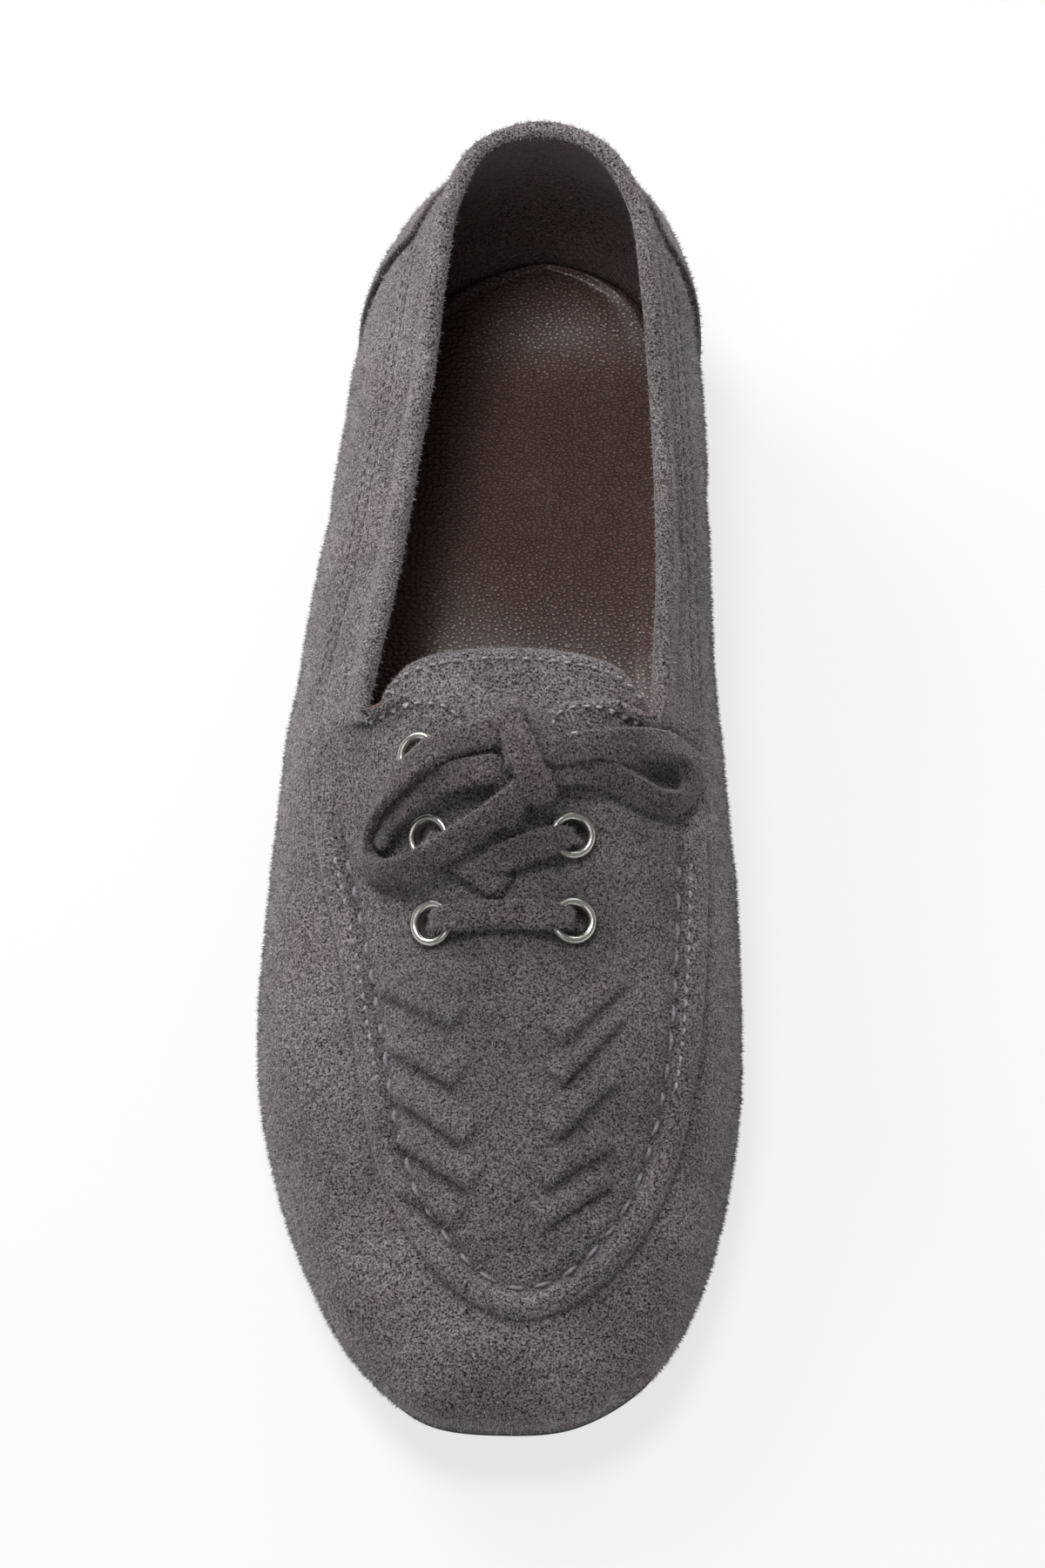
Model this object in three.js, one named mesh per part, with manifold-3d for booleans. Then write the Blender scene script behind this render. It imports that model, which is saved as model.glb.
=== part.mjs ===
// Right lace-up moccasin loafer in millimetres: +Z up, toe towards -Y, inner side of the foot towards +X.
// While it is being built, y runs from the toe tip to the heel; the finished group is centred on the floor.
import * as THREE from 'three';
import { mergeVertices } from 'three/addons/utils/BufferGeometryUtils.js';
import Module from 'manifold-3d';

const wasm = await Module();
wasm.setup();

// Sizes of the last
const shoeLength = 264;
const ballWidth = 95.2;
const instepHeight = 58.5; // vamp at the throat, above the sole
const backHeight = 62; // collar at the heel, above the sole
const toeSpring = 6;
const heelHeight = 5;

// Sizes of the parts
const wall = 2; // suede with its lining
const clearance = 0.3; // between pieces that meet
const lastingMargin = 4; // the wall turned in under the foot
const lipHeight = 1.7;
const lipWidth = 4.4;
const troughDepth = 0.4;
const bandStep = 0.8; // folded collar band over the quarter
const soleThickness = 3.5;
const soleShelf = 1.2; // sole edge beyond the upper's tucked edge
const soleBevel = 0.9;
const insoleThickness = 2.4;
const insoleClearance = 0.4;
const counterThickness = 1.2;
const tongueThickness = 2.6;
const tongueClearance = 0.7;
const tongueHalfWidth = 27.4;
const tongueCurve = 0.0132; // drop of the tongue's cross-section over the square of its half-width
const eyeletRadius = 4.6;
const eyeletHoleRadius = 2.9;
const eyeletBarrel = 0.45;
const eyeletRise = 1.1;
const laceWidth = 5.6;
const laceThickness = 2;

// Places along the foot, as shares of its length
const springEnd = 0.227; // the toe spring runs out here
const archStart = 0.4;
const archEnd = 0.727;
const heelBreast = 0.742;
const breastHollow = 0.016;

// One row for each section, from the toe tip round to the heel. Lengths along the foot (…Y) are per cent of
// shoeLength, widths to the outer and inner side per cent of ballWidth, heights above the sole (…Z) per cent
// of the height there. edge is the fullest line, seam the apron's edge and then the collar band's,
// top the middle of the vamp, then the slit, the tab and the collar. crown is how far the arch from seam to
// top turns over, in degrees.
const sectionColumns = [
  'edgeY', 'edgeOut', 'edgeIn', 'seamY', 'seamOut', 'seamIn', 'seamZ', 'topY', 'topOut', 'topIn', 'topZ', 'crown',
];
const sectionRows = [
  [0, 3.7, 3.7, 6.8, 7.4, 7.4, 34.5, 14, 5.3, 5.3, 51, 36],
  [0.8, -12.6, 19.2, 8, -2.5, 17.9, 35.3, 15.5, 5.1, 5.1, 54.5, 44],
  [4.6, -25.1, 33.8, 10.8, -11.2, 26.6, 37.3, 17.4, 5, 5, 58.4, 58],
  [10.2, -34.9, 41.9, 14.4, -18.1, 33.1, 40.2, 20.1, 4.8, 4.8, 63.5, 72],
  [17.4, -43, 47.1, 19.5, -23.8, 38.2, 43.2, 23.5, 4.6, 4.6, 68.7, 82],
  [26.1, -48.8, 49.8, 26.3, -27.6, 41.4, 47.4, 28, 4.4, 4.4, 75.6, 90],
  [33, -50, 49.6, 33, -31.3, 42.3, 52.3, 32.6, 4.1, 4.1, 80.7, 90],
  [37.3, -49.6, 49.1, 37.3, -34.2, 42.4, 56.2, 36.4, 4, 4, 85, 90],
  [41.5, -48.9, 48.3, 41.5, -37.2, 42.2, 59.8, 40.9, 1.6, 5.5, 91.9, 88],
  [44.7, -48.3, 47.3, 45.1, -39.1, 41.9, 61.9, 45.8, -3.2, 7.4, 98, 85],
  [46.8, -47.8, 46.4, 46.8, -39.7, 41.7, 62.5, 49.4, -7.9, 10.3, 99.2, 78],
  [48.6, -47.3, 45.8, 48.5, -40.1, 41.4, 63.3, 50.3, -16.8, 18.9, 96, 55],
  [51, -46.7, 44.9, 51.5, -39.9, 41, 63.9, 49.6, -27.9, 31.9, 87.6, 35],
  [54.2, -45.8, 43.7, 55, -38.4, 40.1, 63.2, 53.8, -26.8, 31.7, 85.6, 22],
  [62.5, -43.3, 41.6, 63.3, -35, 38.7, 60.7, 63.6, -22.7, 31.7, 78.3, 18],
  [71.2, -39.9, 40.1, 71.2, -31.8, 37.2, 60.6, 72, -20, 30.5, 77.9, 18],
  [78.8, -37.4, 38.7, 78.4, -28.4, 35.3, 63.9, 79.2, -17.4, 28.9, 83.4, 18],
  [85.6, -35.2, 36.8, 84.8, -25.7, 33.1, 68.1, 85.6, -16, 27.1, 90.7, 18],
  [91.4, -29.8, 33, 90.9, -22, 29.6, 72.5, 91.4, -13.8, 24.2, 95.9, 18],
  [96.2, -18.6, 24.6, 95.6, -13.4, 21.6, 77.3, 95.8, -8, 16.4, 99, 18],
  [99, 3.7, 3.7, 98.7, 4, 4, 78.9, 97.3, 4.2, 4.2, 99.8, 18],
];

// The wall below the seam, at a few places along the foot: how high its fullest line lies (per cent of the
// height), how far it tucks under on each side and swells above (per cent of ballWidth), and how far it
// has turned over when it reaches the seam, in degrees.
const girthColumns = ['at', 'rise', 'tuckOut', 'tuckIn', 'swell', 'turn'];
const girthRows = [
  [0, 12, 3.2, 3.2, 0, 74],
  [30, 13, 4.2, 4.4, 0.4, 72],
  [60, 17, 6.5, 9.5, 1, 62],
  [82, 18, 4.6, 5.2, 1.4, 56],
  [100, 18, 3.6, 3.6, 2.6, 50],
];

const last = sectionRows.length - 1;
const ringSize = 2 * last; // sections round the whole shoe, outer side first
const slitFoot = 7; // the section where the slit begins
const slitFootIn = ringSize - slitFoot;
const throat = 12; // the section where the tab meets the collar
const columnsPerSection = 2;

// Small tools for numbers and tables
const mix = THREE.MathUtils.lerp;
const smooth = (value, from, to) => THREE.MathUtils.smoothstep(value, from, to);

function named(columns, rows) {
  return rows.map((row) => Object.fromEntries(columns.map((column, i) => [column, row[i]])));
}

const sections = named(sectionColumns, sectionRows);
const girths = named(girthColumns, girthRows);

function girthAt(y, column) {
  const at = (100 * y) / shoeLength;
  const next = Math.max(1, girths.findIndex((row) => row.at >= at));
  const [before, after] = [girths[next - 1], girths[next]];
  return mix(before[column], after[column], smooth(at, before.at, after.at));
}

// Height of the outsole's underside, of the seat on its top, and of the upper above that
function underside(y) {
  const spring = toeSpring * Math.max(0, 1 - y / (springEnd * shoeLength)) ** 2;
  const lift = heelHeight + clearance;
  return spring + lift * smooth(y, archStart * shoeLength, archEnd * shoeLength);
}

const seat = (y) => underside(y) + soleThickness + clearance;

function heightAt(y) {
  return mix(instepHeight, backHeight, smooth(y, 0.5 * shoeLength, 0.95 * shoeLength));
}

// The three long lines of the upper, as curves round the whole shoe
const ringRow = (i) => sections[i <= last ? i : ringSize - i];
const sideOf = (i) => (i <= last ? 'Out' : 'In');

function linePoint(line, i) {
  const row = ringRow(i);
  const y = (row[`${line}Y`] * shoeLength) / 100;
  const x = (row[line + sideOf(i)] * ballWidth) / 100;
  const z = line === 'edge' ? 0 : seat(y) + (row[`${line}Z`] * heightAt(y)) / 100;
  return new THREE.Vector3(x, y, z);
}

function lineThrough(line, from, to, closed) {
  const points = Array.from({ length: to - from + 1 }, (_, k) => linePoint(line, from + k));
  return new THREE.CatmullRomCurve3(points, closed, 'centripetal');
}

const edgeLine = lineThrough('edge', 0, ringSize - 1, true);
const seamLine = lineThrough('seam', 0, ringSize - 1, true);
const spineLine = lineThrough('top', 0, slitFoot, false);
const openingLine = lineThrough('top', slitFoot, slitFootIn, false);

const onSpine = (u) => u <= slitFoot || u >= slitFootIn;

function topPoint(u) {
  if (u <= slitFoot) return spineLine.getPoint(u / slitFoot);
  if (u >= slitFootIn) return spineLine.getPoint((ringSize - u) / slitFoot);
  return openingLine.getPoint((u - slitFoot) / (slitFootIn - slitFoot));
}

function crownAt(u) {
  const folded = Math.min(u, ringSize - u);
  const before = Math.min(Math.floor(folded), last - 1);
  return THREE.MathUtils.degToRad(mix(sections[before].crown, sections[before + 1].crown, folded - before));
}

// One column of the upper: u counts sections round the shoe from the toe, 0 to ringSize
const columnMemory = new Map();

function columnAt(position) {
  const u = ((position % ringSize) + ringSize) % ringSize;
  const key = u.toFixed(5);
  if (columnMemory.has(key)) return columnMemory.get(key);
  const edge = edgeLine.getPoint(u / ringSize);
  const tangent = edgeLine.getTangent(u / ringSize);
  const inward = new THREE.Vector3(tangent.y, -tangent.x, 0).normalize();
  const innerSide = smooth(edge.x, -0.2 * ballWidth, 0.2 * ballWidth);
  const tuck = (mix(girthAt(edge.y, 'tuckOut'), girthAt(edge.y, 'tuckIn'), innerSide) * ballWidth) / 100;
  const foot = edge.clone().addScaledVector(inward, tuck);
  foot.z = seat(foot.y);
  edge.z = seat(edge.y) + (girthAt(edge.y, 'rise') * heightAt(edge.y)) / 100;
  const seam = seamLine.getPoint(u / ringSize);
  const top = topPoint(u);
  const column = {
    u, edge, inward, tuck, foot, seam, top,
    swell: (girthAt(edge.y, 'swell') * ballWidth) / 100,
    turn: THREE.MathUtils.degToRad(girthAt(edge.y, 'turn')),
    crown: crownAt(u),
    reach: seam.distanceTo(top),
  };
  columnMemory.set(key, column);
  return column;
}

// The upper's own function. v is 0 at the tucked edge on the sole, 1 on the fullest line, 2 on the seam
// and 3 on the vamp's middle line or the opening's edge.
function skin(position, v) {
  const c = columnAt(position);
  if (v <= 1) {
    const angle = (v * Math.PI) / 2;
    const point = c.edge.clone().addScaledVector(c.inward, c.tuck * (1 - Math.sin(angle)));
    point.z = mix(c.foot.z, c.edge.z, 1 - Math.cos(angle));
    return point;
  }
  if (v <= 2) {
    const angle = (v - 1) * c.turn;
    const across = (1 - Math.cos(angle)) / (1 - Math.cos(c.turn));
    const point = c.edge.clone().lerp(c.seam, across);
    point.addScaledVector(c.inward, -c.swell * Math.sin(Math.PI * (v - 1)));
    point.z = mix(c.edge.z, c.seam.z, Math.sin(angle) / Math.sin(c.turn));
    return point;
  }
  const point = c.seam.clone().lerp(c.top, v - 2);
  point.z = mix(c.seam.z, c.top.z, Math.sin(c.crown * (v - 2)) / Math.sin(c.crown));
  return point;
}

function skinNormal(position, v) {
  const u = columnAt(position).u;
  if (v > 2.999 && onSpine(u)) {
    const folded = Math.min(u, ringSize - u);
    const along = spineLine.getTangent(folded / slitFoot);
    return new THREE.Vector3(0, -along.z, along.y).normalize();
  }
  const step = 0.02;
  const along = skin(u + step, v).sub(skin(u - step, v));
  const up = skin(u, Math.min(3, v + step)).sub(skin(u, Math.max(0, v - step)));
  return up.cross(along).normalize();
}

const raised = (u, v, height) => skin(u, v).addScaledVector(skinNormal(u, v), height);

// The point of the vamp over a place in plan, with the way out of the surface there
function vampAt(x, y) {
  const outerSide = x < (linePoint('top', slitFoot).x);
  let u = outerSide ? slitFoot : slitFootIn;
  let v = 2.5;
  const step = 0.01;
  for (let pass = 0; pass < 25; pass += 1) {
    const here = skin(u, v);
    const du = skin(u + step, v).sub(here).divideScalar(step);
    const dv = skin(u, v - step).sub(here).divideScalar(-step);
    const det = du.x * dv.y - du.y * dv.x;
    const [ex, ey] = [x - here.x, y - here.y];
    u += 0.8 * THREE.MathUtils.clamp((ex * dv.y - ey * dv.x) / det, -1, 1);
    v = THREE.MathUtils.clamp(v + 0.8 * ((ey * du.x - ex * du.y) / det), 2.02, 3);
  }
  return { point: skin(u, v), normal: skinNormal(u, Math.min(v, 2.98)) };
}

// Closed meshes
function closedGeometry(vertices, triangles) {
  const positions = new Float32Array(vertices.flatMap((p) => [p.x, p.y, p.z]));
  let volume = 0;
  for (const [a, b, c] of triangles) volume += vertices[a].dot(vertices[b].clone().cross(vertices[c]));
  const outward = triangles.map(([a, b, c]) => (volume > 0 ? [a, b, c] : [a, c, b]));
  const geometry = new THREE.BufferGeometry();
  geometry.setAttribute('position', new THREE.BufferAttribute(positions, 3));
  geometry.setIndex(outward.flat());
  return withoutSlivers(mergeVertices(geometry, 1e-3));
}

function withoutSlivers(geometry) {
  const index = geometry.index.array;
  const kept = [];
  for (let i = 0; i < index.length; i += 3) {
    const [a, b, c] = [index[i], index[i + 1], index[i + 2]];
    if (a !== b && b !== c && c !== a) kept.push(a, b, c);
  }
  geometry.setIndex(kept);
  return geometry;
}

// Rings of points, one after another, each closed on itself; the last ring joins the first if looped
function ringsToGeometry(rings, { looped = false, skip = () => false, caps = [] } = {}) {
  const count = rings[0].length;
  const vertices = rings.flat();
  const triangles = [];
  const spans = looped ? rings.length : rings.length - 1;
  for (let r = 0; r < spans; r += 1) {
    for (let k = 0; k < count; k += 1) {
      if (!skip(r, k)) {
        const [a, b] = [r * count + k, r * count + ((k + 1) % count)];
        const next = ((r + 1) % rings.length) * count;
        const [c, d] = [next + ((k + 1) % count), next + k];
        triangles.push([a, b, c], [a, c, d]);
      }
    }
  }
  for (const { ring, flip } of caps) {
    const half = count / 2;
    for (let k = 0; k < half; k += 1) {
      const at = (i) => ring * count + ((i + count) % count);
      const quad = [at(k), at(k + 1), at(-k - 1), at(-k)];
      const pair = [[quad[0], quad[1], quad[2]], [quad[0], quad[2], quad[3]]];
      triangles.push(...pair.map(([a, b, c]) => (flip ? [a, c, b] : [a, b, c])));
    }
  }
  return closedGeometry(vertices, triangles);
}

// A bent slab between an outer and an inner sheet, each a function of two shares
function slab(acrossSteps, alongSteps, outer, inner) {
  const rows = [];
  for (let j = 0; j <= alongSteps; j += 1) {
    const ring = [];
    for (let i = 0; i <= acrossSteps; i += 1) ring.push(outer(i / acrossSteps, j / alongSteps));
    for (let i = acrossSteps; i >= 0; i -= 1) ring.push(inner(i / acrossSteps, j / alongSteps));
    rows.push(ring);
  }
  const width = rows[0].length;
  const triangles = [];
  for (let j = 0; j < alongSteps; j += 1) {
    for (let k = 0; k < width; k += 1) {
      const [a, b] = [j * width + k, j * width + ((k + 1) % width)];
      triangles.push([a, b, b + width], [a, b + width, a + width]);
    }
  }
  for (let i = 0; i < acrossSteps; i += 1) {
    const quad = [i, i + 1, width - 2 - i, width - 1 - i];
    triangles.push([quad[0], quad[2], quad[1]], [quad[0], quad[3], quad[2]]);
    const end = quad.map((k) => alongSteps * width + k);
    triangles.push([end[0], end[1], end[2]], [end[0], end[2], end[3]]);
  }
  return closedGeometry(rows.flat(), triangles);
}

// Joins and cuts
function toManifold(geometry) {
  const bare = geometry.clone();
  bare.deleteAttribute('normal');
  bare.deleteAttribute('uv');
  const merged = mergeVertices(bare, 1e-4);
  return new wasm.Manifold(new wasm.Mesh({
    numProp: 3,
    vertProperties: new Float32Array(merged.attributes.position.array),
    triVerts: new Uint32Array(merged.index.array),
  }));
}

function fromManifold(body) {
  const mesh = body.getMesh();
  const geometry = new THREE.BufferGeometry();
  geometry.setAttribute('position', new THREE.BufferAttribute(new Float32Array(mesh.vertProperties), 3));
  geometry.setIndex(Array.from(mesh.triVerts));
  return geometry;
}

// Outsole: its outline follows the upper's tucked edge
function soleOutline(inset) {
  return Array.from({ length: ringSize * columnsPerSection }, (_, k) => {
    const c = columnAt(k / columnsPerSection);
    return c.foot.clone().addScaledVector(c.inward, inset - soleShelf);
  });
}

function outsoleGeometry() {
  const level = (inset, rise) => soleOutline(inset).map((p) => p.setZ(underside(p.y) + rise));
  const rings = [
    level(soleBevel, 0),
    level(0, soleBevel),
    level(0, soleThickness - soleBevel / 3),
    level(soleBevel / 3, soleThickness),
  ];
  return ringsToGeometry(rings, { caps: [{ ring: 0, flip: true }, { ring: 3, flip: false }] });
}

// Heel: a low block under the seat, with a hollowed breast
function heelGeometry() {
  const breast = heelBreast * shoeLength;
  const outline = soleOutline(soleBevel).filter((p) => p.y > breast + 1);
  const [outer, inner] = [outline[0], outline[outline.length - 1]];
  const breastSteps = 8;
  for (let i = 0; i <= breastSteps; i += 1) {
    const share = i / breastSteps;
    const y = breast + breastHollow * shoeLength * Math.sin(Math.PI * share);
    outline.push(new THREE.Vector3(mix(inner.x, outer.x, share), y, 0));
  }
  const shape = new THREE.Shape(outline.map((p) => new THREE.Vector2(p.x, p.y)));
  const block = new THREE.ExtrudeGeometry(shape, { depth: heelHeight, bevelEnabled: false });
  block.deleteAttribute('normal');
  block.deleteAttribute('uv');
  return mergeVertices(block, 1e-3);
}

// Upper: one hollow shell, with the lip round the apron and the collar band as steps in its wall
const lipAt = (u) => 1 - smooth(Math.min(u, ringSize - u), slitFoot + 0.8, slitFoot + 2.4);
const bandAt = (u) => smooth(Math.min(u, ringSize - u), throat + 0.1, throat + 1);

const wallRows = [0, 0.4, 0.72, 1, 1.3, 1.6, 1.84, 2];
const stepRows = [ // mm past the seam, and how much of the lip and of the band stands there
  { past: 0.5, lip: lipHeight, band: bandStep },
  { past: 0.5 * lipWidth, lip: 1.15 * lipHeight, band: bandStep },
  { past: lipWidth, lip: 0.8 * lipHeight, band: bandStep },
  { past: lipWidth + 1, lip: -troughDepth, band: bandStep },
  { past: lipWidth + 3.4, lip: 0, band: bandStep },
];
const vampRows = [0.35, 0.7, 1];
const liningRows = [3, 2.66, 2.33, 2, 1.7, 1.35, 1, 0.66, 0.33, 0];

function outerRings(columns) {
  const lastStep = stepRows[stepRows.length - 1];
  const rings = wallRows.map((v) => columns.map((u) => skin(u, v)));
  for (const { past, lip, band } of stepRows) {
    rings.push(columns.map((u) => {
      const height = lip * lipAt(u) + band * bandAt(u);
      return raised(u, 2 + past / columnAt(u).reach, height);
    }));
  }
  for (const share of vampRows) {
    rings.push(columns.map((u) => {
      const v = mix(2 + lastStep.past / columnAt(u).reach, 3, share);
      return raised(u, v, onSpine(u) && share === 1 ? 0 : bandStep * bandAt(u));
    }));
  }
  return rings;
}

function upperGeometry() {
  const columns = Array.from({ length: ringSize * columnsPerSection }, (_, k) => k / columnsPerSection);
  const outside = outerRings(columns);
  const lining = liningRows.map((v) => columns.map((u) => raised(u, v, -wall)));
  const margin = (rise) => columns.map((u) => {
    const c = columnAt(u);
    const point = c.foot.clone().addScaledVector(c.inward, lastingMargin);
    return point.setZ(seat(point.y) + rise);
  });
  const rings = [...outside, ...lining, margin(wall), margin(0)];
  const edgeRing = outside.length - 1;
  const slitColumn = slitFoot * columnsPerSection;
  const onFoldedSpine = (k) => k < slitColumn || k >= columns.length - slitColumn;
  return ringsToGeometry(rings, { looped: true, skip: (r, k) => r === edgeRing && onFoldedSpine(k) });
}

// Eyelets: pairs along the slit, in shares of the length and of the ball width
const eyeletPairs = [
  { name: 'bottom', y: 0.345, out: -0.125, in: 0.158 },
  { name: 'middle', y: 0.405, out: -0.136, in: 0.152 },
  { name: 'top', y: 0.4625, out: -0.161, in: 0.158 },
];

const eyelets = eyeletPairs.flatMap((pair) => ['out', 'in'].map((side) => {
  const place = vampAt(pair[side] * ballWidth, pair.y * shoeLength);
  return { name: `eyelet_${pair.name}_${side === 'out' ? 'outer' : 'inner'}`, side, pair: pair.name, ...place };
}));

const eyelet = (pair, side) => eyelets.find((e) => e.pair === pair && e.side === side);

function turnedTo(geometry, { point, normal }) {
  const turn = new THREE.Quaternion().setFromUnitVectors(new THREE.Vector3(0, 1, 0), normal);
  return geometry.applyQuaternion(turn).translate(point.x, point.y, point.z);
}

function cutEyeletHoles(geometry) {
  const radius = eyeletHoleRadius + eyeletBarrel + clearance;
  let body = toManifold(geometry);
  for (const place of eyelets) {
    const drill = turnedTo(new THREE.CylinderGeometry(radius, radius, 5 * wall, 16), place);
    body = body.subtract(toManifold(drill));
  }
  return fromManifold(body);
}

function eyeletGeometry(place) {
  const bore = eyeletHoleRadius;
  const barrel = bore + eyeletBarrel;
  const under = clearance + 0.1;
  const top = under + eyeletRise;
  const profile = [
    [bore, -wall + 0.1],
    [barrel, -wall + 0.1],
    [barrel, under],
    [eyeletRadius - 0.2, under],
    [eyeletRadius, under + 0.35 * eyeletRise],
    [eyeletRadius - 0.45, top - 0.15],
    [0.5 * (bore + eyeletRadius), top],
    [bore + 0.25, top - 0.25],
    [bore, under],
    [bore, -wall + 0.1],
  ].map(([r, h]) => new THREE.Vector2(r, h));
  const ring = new THREE.LatheGeometry(profile, 14);
  ring.deleteAttribute('normal');
  ring.deleteAttribute('uv');
  return turnedTo(withoutSlivers(mergeVertices(ring, 1e-4)), place);
}

// Heel counter: an overlay cut from the upper's own function, below the collar band
function counterGeometry() {
  const [low, high] = [0.5, 1.95];
  const front = (share) => mix(17, 18.1, share ** 1.6);
  const place = (a, b) => {
    const start = front(b);
    return [mix(start, ringSize - start, a), mix(low, high, b)];
  };
  const sheet = (height) => (a, b) => raised(...place(a, b), height);
  return slab(24, 9, sheet(clearance + counterThickness), sheet(clearance));
}

// Insole: fills the floor of the upper, just inside its wall
function liningAt(u, z) {
  let [low, high] = [0, 1.6];
  for (let pass = 0; pass < 24; pass += 1) {
    const middle = 0.5 * (low + high);
    if (raised(u, middle, -wall).z < z) low = middle;
    else high = middle;
  }
  return raised(u, low, -wall);
}

function insoleGeometry() {
  const level = (rise, inset) => Array.from({ length: ringSize * columnsPerSection }, (_, k) => {
    const c = columnAt(k / columnsPerSection);
    const point = liningAt(c.u, c.foot.z + rise - clearance);
    point.addScaledVector(c.inward, insoleClearance + inset);
    return point.setZ(seat(point.y) + rise);
  });
  const bottom = wall + clearance;
  const rings = [
    level(bottom, 0),
    level(bottom + 0.75 * insoleThickness, 0),
    level(bottom + insoleThickness, 0.5),
  ];
  return ringsToGeometry(rings, { caps: [{ ring: 0, flip: true }, { ring: 2, flip: false }] });
}

// Tongue: a curved flap under the throat, with a round top edge that stands above the tabs
const tongueLow = 0.31; // its hidden lower end and its top, as shares of the length
const tongueTop = 0.542;
const tongueMiddle = 0.022;
const tongueCorner = 9;
const tongueSlope = 0.27; // rise of its top beyond the throat, for each mm along the foot

function tongueCrest(y) {
  const tabEnd = linePoint('top', 9);
  if (y > tabEnd.y) return tabEnd.z + tongueSlope * (y - tabEnd.y);
  const share = THREE.MathUtils.clamp((y - linePoint('top', 4).y) / (tabEnd.y - linePoint('top', 4).y), 0, 1);
  const spine = new THREE.CatmullRomCurve3([4, 5, 6, 7, 8, 9].map((i) => linePoint('top', i)), false, 'centripetal');
  let [low, high] = [0, 1];
  for (let pass = 0; pass < 20; pass += 1) {
    const middle = 0.5 * (low + high);
    if (spine.getPoint(middle).y < y) low = middle;
    else high = middle;
  }
  return share > 0 ? spine.getPoint(low).z : spine.getPoint(0).z;
}

function underVamp(x, y) {
  const { point, normal } = vampAt(x, y);
  const covered = Math.hypot(point.x - x, point.y - y) < 1;
  return covered ? point.z - (wall + tongueClearance) / normal.z : Infinity;
}

function tonguePoint(a, b, depth) {
  const side = 2 * a - 1;
  const top = tongueTop * shoeLength - tongueCorner * Math.abs(side) ** 8;
  const y = mix(tongueLow * shoeLength, top, b);
  const halfWidth = tongueHalfWidth * mix(0.78, 1, smooth(b, 0, 0.7));
  const x = tongueMiddle * ballWidth + side * halfWidth;
  const free = tongueCrest(y) - wall - 2 * tongueClearance - tongueCurve * (side * halfWidth) ** 2;
  const z = Math.min(free, underVamp(x, y));
  const lean = depth * 2 * tongueCurve * halfWidth * side;
  return new THREE.Vector3(x - lean, y + 0.3 * depth, z - depth);
}

function tongueGeometry() {
  return slab(14, 12, (a, b) => tonguePoint(a, b, 0), (a, b) => tonguePoint(a, b, tongueThickness));
}

// Lace: flat strips, each swept along a route whose points say which way the strip's face looks
const stripCorners = [[-1, 0], [-0.86, -1], [0.86, -1], [1, 0], [0.86, 1], [-0.86, 1]];

function sweepStrip(route, stepsPerSpan) {
  const path = new THREE.CatmullRomCurve3(route.map((stop) => stop.point), false, 'centripetal');
  const steps = (route.length - 1) * stepsPerSpan;
  const rings = [];
  for (let k = 0; k <= steps; k += 1) {
    const at = (k / steps) * (route.length - 1);
    const before = Math.min(Math.floor(at), route.length - 2);
    const [a, b] = [route[before], route[before + 1]];
    const tangent = path.getTangent(k / steps);
    const face = a.face.clone().lerp(b.face, at - before);
    face.addScaledVector(tangent, -face.dot(tangent)).normalize();
    const side = tangent.clone().cross(face);
    const halfWidth = 0.5 * laceWidth * mix(a.width, b.width, at - before);
    const halfThickness = 0.5 * laceThickness * mix(a.thickness, b.thickness, at - before);
    const middle = path.getPoint(k / steps);
    rings.push(stripCorners.map(([w, t]) => middle.clone()
      .addScaledVector(side, w * halfWidth).addScaledVector(face, t * halfThickness)));
  }
  const vertices = rings.flat();
  const size = rings[0].length;
  const triangles = [];
  for (let r = 0; r < steps; r += 1) {
    for (let k = 0; k < size; k += 1) {
      const [a, b] = [r * size + k, r * size + ((k + 1) % size)];
      triangles.push([a, b, b + size], [a, b + size, a + size]);
    }
  }
  for (let k = 1; k < size - 1; k += 1) {
    const end = steps * size;
    triangles.push([0, k + 1, k], [end, end + k, end + k + 1]);
  }
  return closedGeometry(vertices, triangles);
}

// A strip held on the vamp, out of an eyelet and over its ring: shares of the way, mm above the surface
const eyeletDive = [
  { along: 0, height: -1.3, width: 0.5, thickness: 0.7 },
  { along: 0.02, height: 0.7, width: 0.55, thickness: 0.8 },
  { along: 0.07, height: 2.7, width: 0.75, thickness: 1 },
  { along: 0.18, height: 3, width: 1, thickness: 1 },
  { along: 0.32, height: 2, width: 1, thickness: 1 },
];

function overVamp(from, to, rows) {
  return rows.map(({ along, height, width, thickness }) => {
    const { point, normal } = vampAt(mix(from.x, to.x, along), mix(from.y, to.y, along));
    return { point: point.addScaledVector(normal, height), face: normal, width, thickness };
  });
}

function barGeometry(pair, arch) {
  const [from, to] = [eyelet(pair, 'out').point, eyelet(pair, 'in').point];
  const back = eyeletDive.map((row) => ({ ...row, along: 1 - row.along })).reverse();
  const rows = [...eyeletDive, { along: 0.5, height: arch, width: 1, thickness: 1 }, ...back];
  return sweepStrip(overVamp(from, to, rows), 2);
}

// The middle strands run down into the slit and cross there
const crossingEnds = { out: { x: 0.02, y: 0.364, height: 1.5 }, in: { x: -0.012, y: 0.381, height: 2.5 } };

function crossingGeometry() {
  const strands = ['out', 'in'].map((side) => {
    const end = crossingEnds[side];
    const stretched = eyeletDive.map((row) => ({ ...row, along: 1.6 * row.along }));
    const rows = [...stretched, { along: 1, height: end.height, width: 1, thickness: 1 }];
    const to = new THREE.Vector3(end.x * ballWidth, end.y * shoeLength, 0);
    return toManifold(sweepStrip(overVamp(eyelet('middle', side).point, to, rows), 2));
  });
  return fromManifold(strands[0].add(strands[1]));
}

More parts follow.
